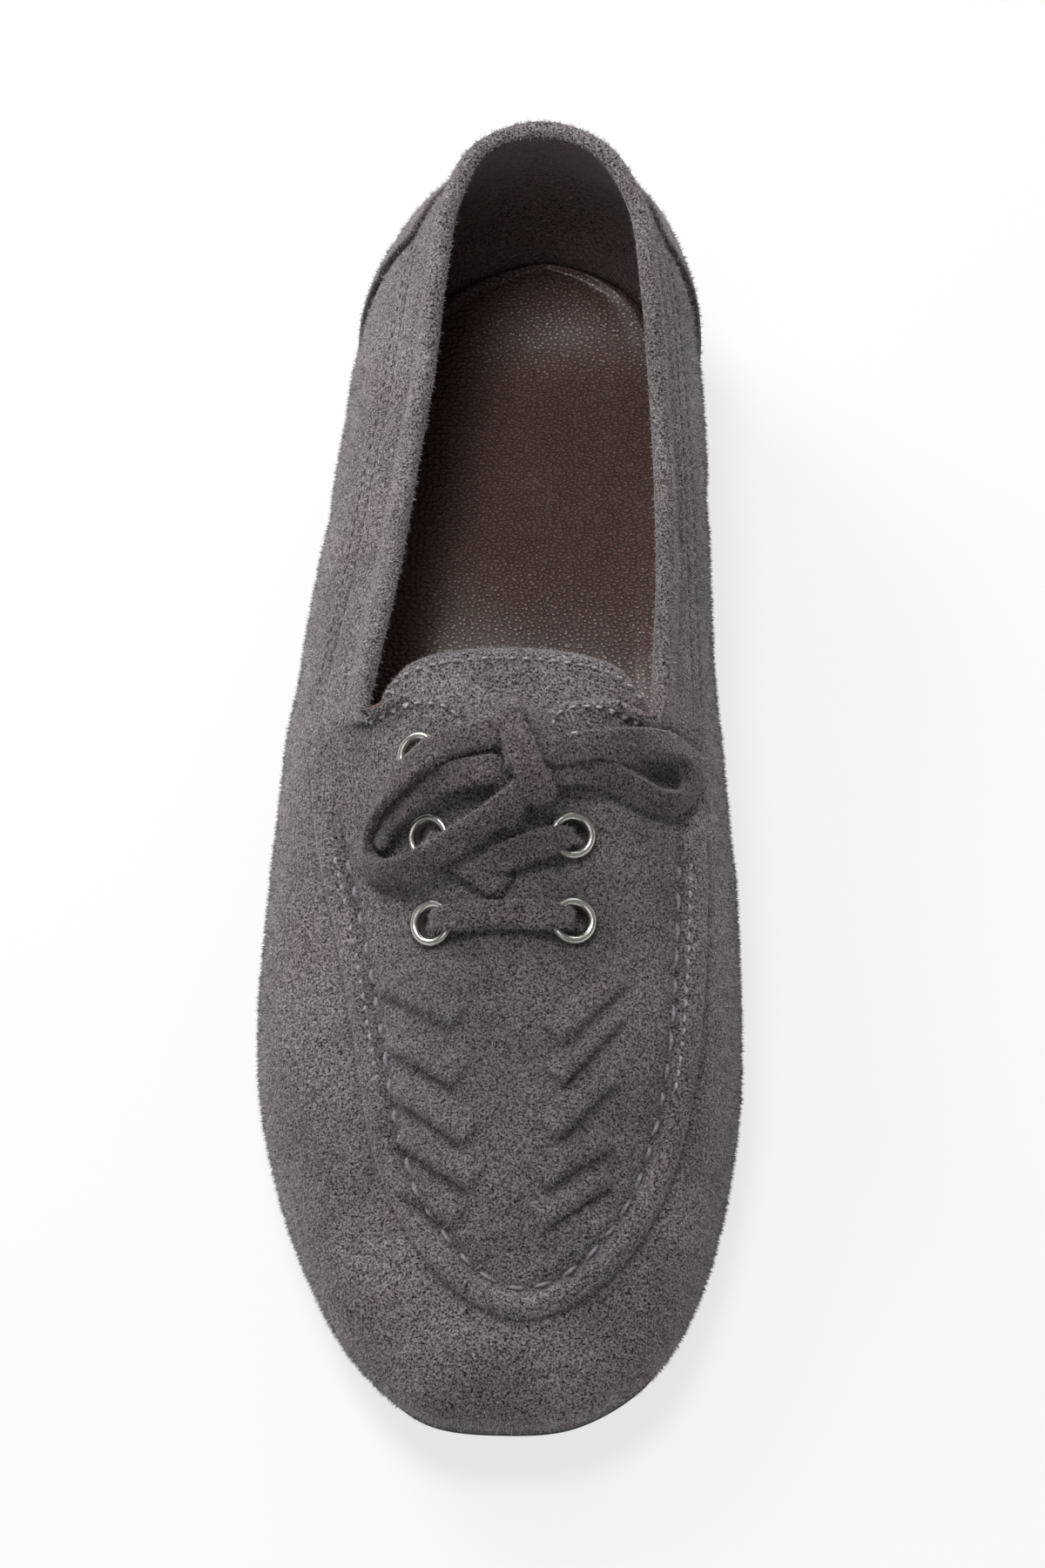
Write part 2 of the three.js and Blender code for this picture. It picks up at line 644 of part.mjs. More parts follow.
// The tied bow. A route's rows are x, y and z of the strip's middle line, then x, y and z of the way its
// face looks; y runs from the toe tip.
const loopOuterRoute = [
  [0.4, 122.2, 68.2, 0, -0.2, 1],
  [-4.8, 122, 67.6, -0.1, -0.2, 1],
  [-10.4, 120.4, 66.8, -0.2, -0.2, 1],
  [-15.9, 117.4, 64.2, -0.4, 0, 0.9],
  [-20.7, 114.3, 59.6, -0.5, 0.2, 0.8],
  [-24.3, 111.4, 53.4, -0.7, 0.4, 0.6],
  [-25.8, 107.9, 49.2, -0.9, 0.2, 0.4],
  [-25.2, 104.3, 47.8, -0.8, -0.5, 0.4],
  [-21.8, 100.9, 50.2, -0.4, -0.9, 0.5],
  [-16.4, 99.8, 55.2, -0.2, -0.8, 0.8],
  [-10.5, 101.3, 59.6, 0, -0.7, 0.9],
  [-4.9, 104.2, 62, 0.1, -0.6, 0.9],
  [0.2, 107.5, 63.6, 0.1, -0.6, 0.9],
  [3.9, 110.3, 64.8, 0.1, -0.6, 0.8],
];
const endOuterRoute = [
  [1, 115.8, 66.4, -0.1, -0.4, 1],
  [-3.9, 115.6, 65.4, -0.1, -0.4, 1],
  [-9.5, 114.8, 63.4, -0.2, -0.3, 1],
  [-14.5, 113.3, 60.2, -0.4, -0.2, 0.9],
  [-18.9, 111.3, 56.2, -0.6, -0.1, 0.8],
  [-21.8, 108.7, 52.4, -0.8, 0.1, 0.6],
  [-22.8, 105.7, 50.6, -1, 0, 0.4],
];
const loopInnerRoute = [
  [9, 118.4, 68.2, 0, -0.4, 1],
  [13.7, 119.7, 67.6, 0, -0.4, 1],
  [19.4, 121.7, 65.6, 0.1, -0.4, 1],
  [25.3, 123.8, 62.4, 0.3, -0.3, 0.9],
  [31.3, 126, 57.6, 0.5, 0, 0.8],
  [35.4, 126.8, 52.8, 0.8, 0.4, 0.5],
  [37.3, 124.7, 49.4, 1, 0.2, 0.4],
  [36.9, 121.1, 47.8, 0.9, -0.5, 0.4],
  [34.5, 117.5, 49.2, 0.5, -0.9, 0.4],
  [30.7, 116.3, 52.2, 0.2, -0.9, 0.5],
  [26.5, 116.9, 55.8, 0, -0.8, 0.6],
  [22.2, 117.6, 59.2, -0.1, -0.7, 0.7],
  [18, 117.7, 62.2, -0.1, -0.6, 0.8],
  [13.7, 116.6, 64.4, 0, -0.5, 0.8],
  [9.7, 115.9, 65.4, 0, -0.5, 0.8],
];
const endFrontRoute = [
  [2.8, 122.8, 71, -0.1, 0.3, 1],
  [4.5, 118.7, 71.3, -0.1, 0, 1],
  [6.3, 114.6, 70.6, 0, -0.4, 1],
  [8.1, 111.5, 68.4, 0.1, -0.7, 0.7],
  [9.7, 109.4, 65.4, 0.2, -0.9, 0.5],
];

function bowGeometry(rows) {
  const route = rows.map(([x, y, z, fx, fy, fz]) => ({
    point: new THREE.Vector3(x, y, z), face: new THREE.Vector3(fx, fy, fz), width: 1, thickness: 1,
  }));
  return sweepStrip(route, 2);
}

const knotMiddle = new THREE.Vector3(4.8, 119.4, 67.5);
const knotHalf = new THREE.Vector3(3.7, 4.6, 2.3);
const knotSquareness = 0.7;

function knotGeometry() {
  const ball = new THREE.SphereGeometry(1, 14, 8);
  ball.deleteAttribute('normal');
  ball.deleteAttribute('uv');
  const body = withoutSlivers(mergeVertices(ball, 1e-4));
  const place = body.attributes.position;
  const square = (value, half, middle) => middle + half * Math.sign(value) * Math.abs(value) ** knotSquareness;
  for (let i = 0; i < place.count; i += 1) {
    place.setXYZ(
      i,
      square(place.getX(i), knotHalf.x, knotMiddle.x),
      square(place.getY(i), knotHalf.y, knotMiddle.y),
      square(place.getZ(i), knotHalf.z, knotMiddle.z),
    );
  }
  return body;
}

// Assembly
const suede = new THREE.MeshStandardMaterial({ color: 0x6a6465, roughness: 0.95, metalness: 0 });
const darkSuede = new THREE.MeshStandardMaterial({ color: 0x5b5456, roughness: 0.95, metalness: 0 });
const leather = new THREE.MeshStandardMaterial({ color: 0x4a3d3b, roughness: 0.5, metalness: 0 });
const rubber = new THREE.MeshStandardMaterial({ color: 0x2b2a2b, roughness: 0.8, metalness: 0 });
const silver = new THREE.MeshStandardMaterial({ color: 0xd8d4cc, roughness: 0.3, metalness: 1 });

const shoe = new THREE.Group();

function add(name, geometry, material) {
  const mesh = new THREE.Mesh(geometry, material);
  mesh.name = name;
  shoe.add(mesh);
  return mesh;
}

add('outsole', outsoleGeometry(), rubber);
add('heel', heelGeometry(), rubber);
add('upper', cutEyeletHoles(upperGeometry()), suede);
add('heel_counter', counterGeometry(), suede);
add('tongue', tongueGeometry(), suede);
add('insole', insoleGeometry(), leather);
for (const place of eyelets) add(place.name, eyeletGeometry(place), silver);
add('lace_bar_bottom', barGeometry('bottom', 1.8), darkSuede);
add('lace_crossing', crossingGeometry(), darkSuede);
add('lace_bar_top', barGeometry('top', 1.6), darkSuede);

const reach = new THREE.Box3().setFromObject(shoe);
const middle = reach.getCenter(new THREE.Vector3());
shoe.position.set(-middle.x, -middle.y, -reach.min.z);

add('bow_knot', knotGeometry(), suede);
add('bow_loop_outer', bowGeometry(loopOuterRoute), suede);
add('bow_loop_inner', bowGeometry(loopInnerRoute), suede);
add('bow_end_outer', bowGeometry(endOuterRoute), suede);
add('bow_end_front', bowGeometry(endFrontRoute), suede);

export default shoe;
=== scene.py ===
# Dresses the right lace-up moccasin loafer: suede, stitches, lace and bow, leather sock, rubber sole.
# Shapes are worked out in millimetres with y from the toe tip; meshes are in metres, in the frame's place.
import math
import random

import bmesh
import bpy
import numpy as np
from mathutils import Matrix, Vector, noise


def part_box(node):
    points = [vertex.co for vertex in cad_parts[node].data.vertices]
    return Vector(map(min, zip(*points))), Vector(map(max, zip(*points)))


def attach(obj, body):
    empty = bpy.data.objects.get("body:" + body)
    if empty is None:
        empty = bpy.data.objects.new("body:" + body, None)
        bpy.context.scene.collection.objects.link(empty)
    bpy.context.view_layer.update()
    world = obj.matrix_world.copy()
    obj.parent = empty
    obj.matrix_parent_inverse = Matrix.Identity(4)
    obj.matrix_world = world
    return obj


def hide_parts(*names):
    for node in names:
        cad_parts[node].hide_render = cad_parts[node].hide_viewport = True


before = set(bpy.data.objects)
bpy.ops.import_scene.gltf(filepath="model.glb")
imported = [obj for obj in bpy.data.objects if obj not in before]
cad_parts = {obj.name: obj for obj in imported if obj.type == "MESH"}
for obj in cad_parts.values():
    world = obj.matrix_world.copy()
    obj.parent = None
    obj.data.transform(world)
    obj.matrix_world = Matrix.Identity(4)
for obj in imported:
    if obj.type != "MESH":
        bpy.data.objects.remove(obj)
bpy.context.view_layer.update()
print("frame loaded")

mm = 0.001

last = {
    "length": 264,
    "ballWidth": 95.2,
    "instepHeight": 58.5,
    "backHeight": 62,
    "toeSpring": 6,
    "heelHeight": 5,
    "wall": 2,
    "clearance": 0.3,
    "soleThickness": 3.5,
    "springEnd": 0.227,
    "archStart": 0.4,
    "archEnd": 0.727,
}

# One row for each section from the toe tip to the heel, the solids' own table: lengths in per cent of the
# length, widths in per cent of the ball width, heights in per cent of the height there, crown in degrees.
sectionColumns = ("edgeY", "edgeOut", "edgeIn", "seamY", "seamOut", "seamIn", "seamZ",
                  "topY", "topOut", "topIn", "topZ", "crown")
sectionRows = [
    (0, 3.7, 3.7, 6.8, 7.4, 7.4, 34.5, 14, 5.3, 5.3, 51, 36),
    (0.8, -12.6, 19.2, 8, -2.5, 17.9, 35.3, 15.5, 5.1, 5.1, 54.5, 44),
    (4.6, -25.1, 33.8, 10.8, -11.2, 26.6, 37.3, 17.4, 5, 5, 58.4, 58),
    (10.2, -34.9, 41.9, 14.4, -18.1, 33.1, 40.2, 20.1, 4.8, 4.8, 63.5, 72),
    (17.4, -43, 47.1, 19.5, -23.8, 38.2, 43.2, 23.5, 4.6, 4.6, 68.7, 82),
    (26.1, -48.8, 49.8, 26.3, -27.6, 41.4, 47.4, 28, 4.4, 4.4, 75.6, 90),
    (33, -50, 49.6, 33, -31.3, 42.3, 52.3, 32.6, 4.1, 4.1, 80.7, 90),
    (37.3, -49.6, 49.1, 37.3, -34.2, 42.4, 56.2, 36.4, 4, 4, 85, 90),
    (41.5, -48.9, 48.3, 41.5, -37.2, 42.2, 59.8, 40.9, 1.6, 5.5, 91.9, 88),
    (44.7, -48.3, 47.3, 45.1, -39.1, 41.9, 61.9, 45.8, -3.2, 7.4, 98, 85),
    (46.8, -47.8, 46.4, 46.8, -39.7, 41.7, 62.5, 49.4, -7.9, 10.3, 99.2, 78),
    (48.6, -47.3, 45.8, 48.5, -40.1, 41.4, 63.3, 50.3, -16.8, 18.9, 96, 55),
    (51, -46.7, 44.9, 51.5, -39.9, 41, 63.9, 49.6, -27.9, 31.9, 87.6, 35),
    (54.2, -45.8, 43.7, 55, -38.4, 40.1, 63.2, 53.8, -26.8, 31.7, 85.6, 22),
    (62.5, -43.3, 41.6, 63.3, -35, 38.7, 60.7, 63.6, -22.7, 31.7, 78.3, 18),
    (71.2, -39.9, 40.1, 71.2, -31.8, 37.2, 60.6, 72, -20, 30.5, 77.9, 18),
    (78.8, -37.4, 38.7, 78.4, -28.4, 35.3, 63.9, 79.2, -17.4, 28.9, 83.4, 18),
    (85.6, -35.2, 36.8, 84.8, -25.7, 33.1, 68.1, 85.6, -16, 27.1, 90.7, 18),
    (91.4, -29.8, 33, 90.9, -22, 29.6, 72.5, 91.4, -13.8, 24.2, 95.9, 18),
    (96.2, -18.6, 24.6, 95.6, -13.4, 21.6, 77.3, 95.8, -8, 16.4, 99, 18),
    (99, 3.7, 3.7, 98.7, 4, 4, 78.9, 97.3, 4.2, 4.2, 99.8, 18),
]
girthColumns = ("at", "rise", "tuckOut", "tuckIn", "swell", "turn")
girthRows = [
    (0, 12, 3.2, 3.2, 0, 74),
    (30, 13, 4.2, 4.4, 0.4, 72),
    (60, 17, 6.5, 9.5, 1, 62),
    (82, 18, 4.6, 5.2, 1.4, 56),
    (100, 18, 3.6, 3.6, 2.6, 50),
]
sections = [dict(zip(sectionColumns, row)) for row in sectionRows]
girths = [dict(zip(girthColumns, row)) for row in girthRows]
heelSection = len(sections) - 1
ringSize = 2 * heelSection  # sections round the whole shoe, outer side first
slitFoot = 7  # the section where the slit begins
slitFootIn = ringSize - slitFoot
throat = 12  # the section where the tab meets the collar


def mix(a, b, share):
    return a + (b - a) * share


def clamp(value, low=0.0, high=1.0):
    return max(low, min(high, value))


def smooth(value, low, high):
    share = clamp((value - low) / (high - low))
    return share * share * (3 - 2 * share)


def bell(value, middle, width):
    return math.exp(-((value - middle) / width) ** 2)


def spline(points, closed):
    count = len(points)

    def nonuniform(k, share):
        before = points[(k - 1) % count] if closed or k > 0 else 2 * points[0] - points[1]
        a = points[k % count]
        b = points[(k + 1) % count]
        after = points[(k + 2) % count] if closed or k + 2 < count else 2 * points[-1] - points[-2]
        d0, d1, d2 = ((q - p).length ** 0.5 for p, q in ((before, a), (a, b), (b, after)))
        t0 = ((a - before) / d0 - (b - before) / (d0 + d1) + (b - a) / d1) * d1
        t1 = ((b - a) / d1 - (after - a) / (d1 + d2) + (after - b) / d2) * d1
        square = share * share
        return (a + t0 * share + (3 * (b - a) - 2 * t0 - t1) * square
                + (2 * (a - b) + t0 + t1) * square * share)

    def at(share):
        place = share * (count if closed else count - 1)
        k = int(math.floor(place))
        if closed:
            return nonuniform(k % count, place - k)
        k = min(max(k, 0), count - 2)
        return nonuniform(k, place - k)

    return at


def tangentOf(curve, share, step=1e-4):
    return (curve(min(1, share + step)) - curve(max(0, share - step))).normalized()


def girthAt(y, column):
    at = 100 * y / last["length"]
    for before, after in zip(girths, girths[1:]):
        if at <= after["at"]:
            break
    return mix(before[column], after[column], smooth(at, before["at"], after["at"]))


def underside(y):
    length = last["length"]
    spring = last["toeSpring"] * max(0, 1 - y / (last["springEnd"] * length)) ** 2
    lift = last["heelHeight"] + last["clearance"]
    return spring + lift * smooth(y, last["archStart"] * length, last["archEnd"] * length)


def seat(y):
    return underside(y) + last["soleThickness"] + last["clearance"]


def heightAt(y):
    backShare = smooth(y, 0.5 * last["length"], 0.95 * last["length"])
    return mix(last["instepHeight"], last["backHeight"], backShare)


def linePoint(line, i):
    row = sections[i if i <= heelSection else ringSize - i]
    side = "Out" if i <= heelSection else "In"
    y = row[line + "Y"] * last["length"] / 100
    z = 0 if line == "edge" else seat(y) + row[line + "Z"] * heightAt(y) / 100
    return Vector((row[line + side] * last["ballWidth"] / 100, y, z))


edgeLine = spline([linePoint("edge", i) for i in range(ringSize)], True)
seamLine = spline([linePoint("seam", i) for i in range(ringSize)], True)
spineLine = spline([linePoint("top", i) for i in range(slitFoot + 1)], False)
openingLine = spline([linePoint("top", i) for i in range(slitFoot, slitFootIn + 1)], False)


def onSpine(u):
    return u <= slitFoot or u >= slitFootIn


def topPoint(u):
    if u <= slitFoot:
        return spineLine(u / slitFoot)
    if u >= slitFootIn:
        return spineLine((ringSize - u) / slitFoot)
    return openingLine((u - slitFoot) / (slitFootIn - slitFoot))


def crownAt(u):
    folded = min(u, ringSize - u)
    before = min(int(folded), heelSection - 1)
    return math.radians(mix(sections[before]["crown"], sections[before + 1]["crown"], folded - before))


columnMemory = {}


def columnAt(position):
    u = position % ringSize
    key = round(u, 5)
    if key in columnMemory:
        return columnMemory[key]
    edge = edgeLine(u / ringSize)
    tangent = (edgeLine(u / ringSize + 1e-4) - edgeLine(u / ringSize - 1e-4)).normalized()
    inward = Vector((tangent.y, -tangent.x, 0)).normalized()
    innerSide = smooth(edge.x, -0.2 * last["ballWidth"], 0.2 * last["ballWidth"])
    tuck = mix(girthAt(edge.y, "tuckOut"), girthAt(edge.y, "tuckIn"), innerSide) * last["ballWidth"] / 100
    foot = edge + inward * tuck
    foot.z = seat(foot.y)
    edge.z = seat(edge.y) + girthAt(edge.y, "rise") * heightAt(edge.y) / 100
    seam = seamLine(u / ringSize)
    top = topPoint(u)
    column = {
        "edge": edge, "inward": inward, "tuck": tuck, "foot": foot, "seam": seam, "top": top,
        "swell": girthAt(edge.y, "swell") * last["ballWidth"] / 100,
        "turn": math.radians(girthAt(edge.y, "turn")),
        "crown": crownAt(u),
        "reach": (seam - top).length,
    }
    columnMemory[key] = column
    return column


def skin(u, v):
    c = columnAt(u)
    if v <= 1:
        angle = v * math.pi / 2
        point = c["edge"] + c["inward"] * (c["tuck"] * (1 - math.sin(angle)))
        point.z = mix(c["foot"].z, c["edge"].z, 1 - math.cos(angle))
        return point
    if v <= 2:
        angle = (v - 1) * c["turn"]
        across = (1 - math.cos(angle)) / (1 - math.cos(c["turn"]))
        point = c["edge"].lerp(c["seam"], across)
        point -= c["inward"] * (c["swell"] * math.sin(math.pi * (v - 1)))
        point.z = mix(c["edge"].z, c["seam"].z, math.sin(angle) / math.sin(c["turn"]))
        return point
    point = c["seam"].lerp(c["top"], v - 2)
    point.z = mix(c["seam"].z, c["top"].z, math.sin(c["crown"] * (v - 2)) / math.sin(c["crown"]))
    return point


def skinNormal(u, v):
    u = u % ringSize
    if v > 2.999 and onSpine(u):
        along = tangentOf(spineLine, min(u, ringSize - u) / slitFoot)
        return Vector((0, -along.z, along.y)).normalized()
    step = 0.02
    along = skin(u + step, v) - skin(u - step, v)
    up = skin(u, min(3, v + step)) - skin(u, max(0, v - step))
    return up.cross(along).normalized()


def raised(u, v, height):
    return skin(u, v) + skinNormal(u, v) * height


def vampPlace(x, y):
    outer = x < linePoint("top", slitFoot).x
    u, v, step = (slitFoot if outer else slitFootIn), 2.5, 0.01
    for _ in range(16):
        here = skin(u, v)
        du = (skin(u + step, v) - here) / step
        dv = (skin(u, v - step) - here) / -step
        det = du.x * dv.y - du.y * dv.x
        ex, ey = x - here.x, y - here.y
        u += 0.8 * clamp((ex * dv.y - ey * dv.x) / det, -1, 1)
        v = clamp(v + 0.8 * (ey * du.x - ex * du.y) / det, 2.02, 3)
    return u, v


def vampAt(x, y):
    u, v = vampPlace(x, y)
    return skin(u, v), skinNormal(u, min(v, 2.98))


# Where the worked-out shape sits in the frame: the sole's outline against its solid's box
soleShelf = 1.2


def soleOutline(inset, perSection):
    outline = []
    for k in range(ringSize * perSection):
        c = columnAt(k / perSection)
        outline.append(c["foot"] + c["inward"] * (inset - soleShelf))
    return outline


solidOutline = soleOutline(0, 2)
soleLow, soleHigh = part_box("outsole")
shift = Vector((0, 0, 0))
for axis in (0, 1):
    places = [p[axis] for p in solidOutline]
    shift[axis] = (soleLow[axis] + soleHigh[axis]) / 2 / mm - (min(places) + max(places)) / 2


def toFrame(point):
    return (point + shift) * mm


def addObject(name, data):
    added = bpy.data.objects.new(name, data)
    bpy.context.collection.objects.link(added)
    return added


# Camera: the photo's height and distance over this shoe, turned to it
camera = {
    "standing": Vector((59.4, -433.6, 1187.6)),  # mm, y from the toe tip
    "aim": Vector((3, 134, 22)),
    "roll": 1.2,
    "focal": 7475,  # in pixels of the 1800 pixel high image
    "imageHeight": 1800,
    "sensor": 24,
}


def addCamera():
    data = bpy.data.cameras.new("camera")
    data.sensor_fit = "VERTICAL"
    data.sensor_height = camera["sensor"]
    data.lens = camera["focal"] / camera["imageHeight"] * camera["sensor"]
    data.clip_start = 0.05
    eye = toFrame(camera["standing"])
    back = (eye - toFrame(camera["aim"])).normalized()
    angle = math.radians(camera["roll"])
    side = Vector((math.cos(angle), math.sin(angle), 0))
    side = (side - back * side.dot(back)).normalized()
    up = back.cross(side)
    turn = Matrix((side, up, back)).transposed()
    standing = addObject("camera", data)
    standing.matrix_world = Matrix.Translation(eye) @ turn.to_4x4()
    bpy.context.scene.camera = standing


addCamera()
print("camera placed")


# Materials
def linear(code):
    channels = (int(code[i:i + 2], 16) / 255 for i in (0, 2, 4))
    return tuple(c / 12.92 if c <= 0.04045 else ((c + 0.055) / 1.055) ** 2.4 for c in channels) + (1,)


def fill(tree, node, settings):
    for name, value in settings.items():
        if isinstance(value, bpy.types.NodeSocket):
            tree.links.new(value, node.inputs[name])
        elif isinstance(name, int) or name in node.inputs:
            node.inputs[name].default_value = value
        else:
            setattr(node, name, value)
    return node


def addNode(tree, kind, settings, output=0):
    return fill(tree, tree.nodes.new("ShaderNode" + kind), settings).outputs[output]


def startMaterial(name):
    material = bpy.data.materials.new(name)
    material.use_nodes = True
    tree = material.node_tree
    inMetres = addNode(tree, "TexCoord", {}, "Object")
    place = addNode(tree, "VectorMath", {"operation": "SCALE", "Scale": 1 / mm, "Vector": inMetres})
    return material, tree, tree.nodes["Principled BSDF"], place


def plainMaterial(name, settings):
    material = bpy.data.materials.new(name)
    material.use_nodes = True
    fill(material.node_tree, material.node_tree.nodes["Principled BSDF"], settings)
    return material


colorMix = {"data_type": "RGBA", "clamp_factor": True}  # its inputs 0, 6 and 7 are the share and two colours
# painted shade: each mesh's shade attribute darkens its troughs, gaps, rims and the feet of its steps towards
# a shade colour
paintedShade = {"attribute_name": "shade"}  # how dark each point of a mesh is in its seams and edges


# Suede, the flesh side of calf buffed to a nap: matt, cloudy from the fibres' lie, speckled close to.
# Its tufts and fibres are drawn many times coarser than the real ones, which wouldn't show
suede = {
    "deep": "524d4f",
    "base": "6b6668",
    "light": "868082",
    "mauve": "745f60",
    # seam: the colour of the painted shade in troughs, gaps and seams and under edges
    "seam": "332e31",
    "sheen": "b9b2b4",
    "cloudSize": 24,  # mm
    "brushSize": 5,
    "tuftSize": 1.0,
    "fibreSize": 0.44,
    "napDepth": 0.3,
}


def brushedSuede(name, colors):
    material, tree, shader, place = startMaterial(name)
    dyes = ("deep", "base", "light", "mauve", "seam")
    deep, base, light, mauve, seam = (linear(colors[dye]) for dye in dyes)
    patterns = {  # size in mm, detail, roughness
        "tufts": (colors["tuftSize"], 3, 0.65),
        "fibres": (colors["fibreSize"], 2, 0.7),
        "clouds": (colors["cloudSize"], 3, 0.5),
        "brushed": (colors["brushSize"], 4, 0.6),
        "blush": (0.9 * colors["cloudSize"], 3, 0.5),
    }
    tufts, fibres, clouds, brushed, blush = (
        addNode(tree, "TexNoise", {"Vector": place, "Scale": 1 / size, "Detail": detail, "Roughness": rough})
        for size, detail, rough in patterns.values())
    clouds = addNode(tree, "MapRange", {"Value": clouds, "From Min": 0.35, "From Max": 0.65})
    brushed = addNode(tree, "MapRange", {"Value": brushed, "From Min": 0.35, "From Max": 0.7, "To Max": 0.3})
    blush = addNode(tree, "MapRange", {"Value": blush, "From Min": 0.5, "From Max": 0.72, "To Max": 0.4})
    speckle = addNode(tree, "MapRange", {"Value": fibres, "From Min": 0.36, "From Max": 0.64, "To Max": 2.1})
    tuftShade = addNode(tree, "MapRange", {"Value": tufts, "From Min": 0.35, "From Max": 0.65,
                                           "To Min": 0.8, "To Max": 1.2})
    speckle = addNode(tree, "Math", {"operation": "MULTIPLY", 0: speckle, 1: tuftShade})
    # painted shade: the shade attribute mixes in the seam colour last
    shade = addNode(tree, "Attribute", paintedShade, "Fac")
    color = deep
    for share, over, mode in ((clouds, light, "MIX"), (0.5, base, "MIX"), (brushed, light, "MIX"),
                              (blush, mauve, "MIX"), (1.0, speckle, "MULTIPLY"), (shade, seam, "MIX")):
        color = addNode(tree, "Mix", {**colorMix, "blend_type": mode, 0: share, 6: color, 7: over}, 2)
    roughness = addNode(tree, "MapRange", {"Value": tufts, "From Min": 0.3, "From Max": 0.7,
                                           "To Min": 0.86, "To Max": 1.0})
    depth = colors["napDepth"] * mm
    nap = addNode(tree, "Bump", {"Strength": 1.0, "Distance": depth, "Height": fibres})
    pile = addNode(tree, "Bump", {"Strength": 0.9, "Distance": 2 * depth, "Height": tufts, "Normal": nap})
    fill(tree, shader, {
        "Base Color": color, "Roughness": roughness, "Normal": pile, "Specular IOR Level": 0.12,
        "Sheen Weight": 0.9, "Sheen Roughness": 0.4, "Sheen Tint": linear(colors["sheen"])})
    return material


# Sock leather, grain side, drum-dyed brown and pressed with a pebble: shiny crowns over valleys painted near
# black as painted shade.
# The pebbles are drawn a little coarser than the real ones, which would blur together
sock = {
    "base": "674c46",
    # deep: the colour of the painted shade in the valleys and along the rim
    "deep": "2c1c19",
    "rub": "70564f",
    "pebbleSize": 0.95,  # mm along the foot
    "pebbleStretch": 0.75,  # below 1 the pebbles are wider across the foot
    "bendSize": 2.857,  # how far apart the rows of pebbles waver, and how much
    "bendReach": 1.2,
    "creaseSize": 6,
    "cloudSize": 22,
    "grainDepth": 0.6,
}


def pebbledLeather(name, colors):
    material, tree, shader, place = startMaterial(name)
    bend = addNode(tree, "TexNoise", {"Vector": place, "Scale": 1 / colors["bendSize"], "Detail": 2}, "Color")
    reach = colors["bendReach"]
    bent = addNode(tree, "VectorMath", {"operation": "MULTIPLY_ADD", 0: bend, 1: (reach, reach, 0), 2: place})
    flat = addNode(tree, "VectorMath", {"operation": "MULTIPLY", 0: bent, 1: (colors["pebbleStretch"], 1, 0)})
    cells = addNode(tree, "TexVoronoi", {
        "voronoi_dimensions": "2D", "feature": "SMOOTH_F1", "Vector": flat, "Scale": 1 / colors["pebbleSize"],
        "Smoothness": 0.2, "Randomness": 0.7})
    crown = addNode(tree, "MapRange", {"Value": cells, "From Min": 0.58, "From Max": 0.2})
    valleyShade = addNode(tree, "MapRange", {"Value": crown, "From Max": 0.6, "To Min": 0.55, "To Max": 0})
    polish = addNode(tree, "MapRange", {"Value": crown, "To Min": 0.6, "To Max": 0.26})
    clouds = addNode(tree, "TexNoise", {"Vector": place, "Scale": 1 / colors["cloudSize"], "Detail": 3})
    clouds = addNode(tree, "MapRange", {"Value": clouds, "From Min": 0.35, "From Max": 0.7})
    creases = addNode(tree, "TexNoise", {"Vector": place, "Scale": 1 / colors["creaseSize"], "Detail": 5,
                                         "Roughness": 0.6})
    shade = addNode(tree, "Attribute", paintedShade, "Fac")
    color = linear(colors["base"])
    # painted shade in the valleys and along the rim, in the deep colour
    for share, over in ((clouds, "rub"), (valleyShade, "deep"), (shade, "deep")):
        color = addNode(tree, "Mix", {**colorMix, 0: share, 6: color, 7: linear(colors[over])}, 2)
    grain = addNode(tree, "Bump", {"Strength": 1.0, "Distance": colors["grainDepth"] * mm, "Height": crown})
    slack = addNode(tree, "Bump", {"Strength": 0.5, "Distance": 0.5 * mm, "Height": creases, "Normal": grain})
    fill(tree, shader, {
        "Base Color": color, "Roughness": polish, "Normal": slack, "Coat Weight": 0.25, "Coat Roughness": 0.2,
        "Specular IOR Level": 0.4})
    return material


# Rubber, moulded and left matt: near black, dusty in its texture, a faint stipple under the foot
rubber = {
    "base": "2c2a2b",
    "dust": "4a4746",
    "stippleSize": 0.9,  # mm
    "dustSize": 9,
}


def mouldedRubber(name, colors):
    material, tree, shader, place = startMaterial(name)
    stipple = addNode(tree, "TexVoronoi", {"Vector": place, "Scale": 1 / colors["stippleSize"]})
    dusty = addNode(tree, "TexNoise", {"Vector": place, "Scale": 1 / colors["dustSize"], "Detail": 4,
                                       "Roughness": 0.65})
    dusty = addNode(tree, "MapRange", {"Value": dusty, "From Min": 0.45, "From Max": 0.75, "To Max": 0.5})
    base, dust = linear(colors["base"]), linear(colors["dust"])
    color = addNode(tree, "Mix", {**colorMix, 0: dusty, 6: base, 7: dust}, 2)
    roughness = addNode(tree, "MapRange", {"Value": dusty, "From Max": 0.5, "To Min": 0.62, "To Max": 0.8})
    bump = addNode(tree, "Bump", {"Strength": 0.4, "Distance": 0.12 * mm, "Height": stipple})
    fill(tree, shader, {"Base Color": color, "Roughness": roughness, "Normal": bump})
    return material


# Eyelets, pressed brass with a pale nickel plate: satin, with painted shade in warm grey down the barrel and
# under the rim's edge, warm grey tarnish in clouds, and fine turning marks drawn coarser than the real ones
plate = {
    "base": "dcd9d2",
    "tarnishAndShade": "a39d92",
    "markSize": 0.35,  # mm
    "cloudSize": 2.4,
}


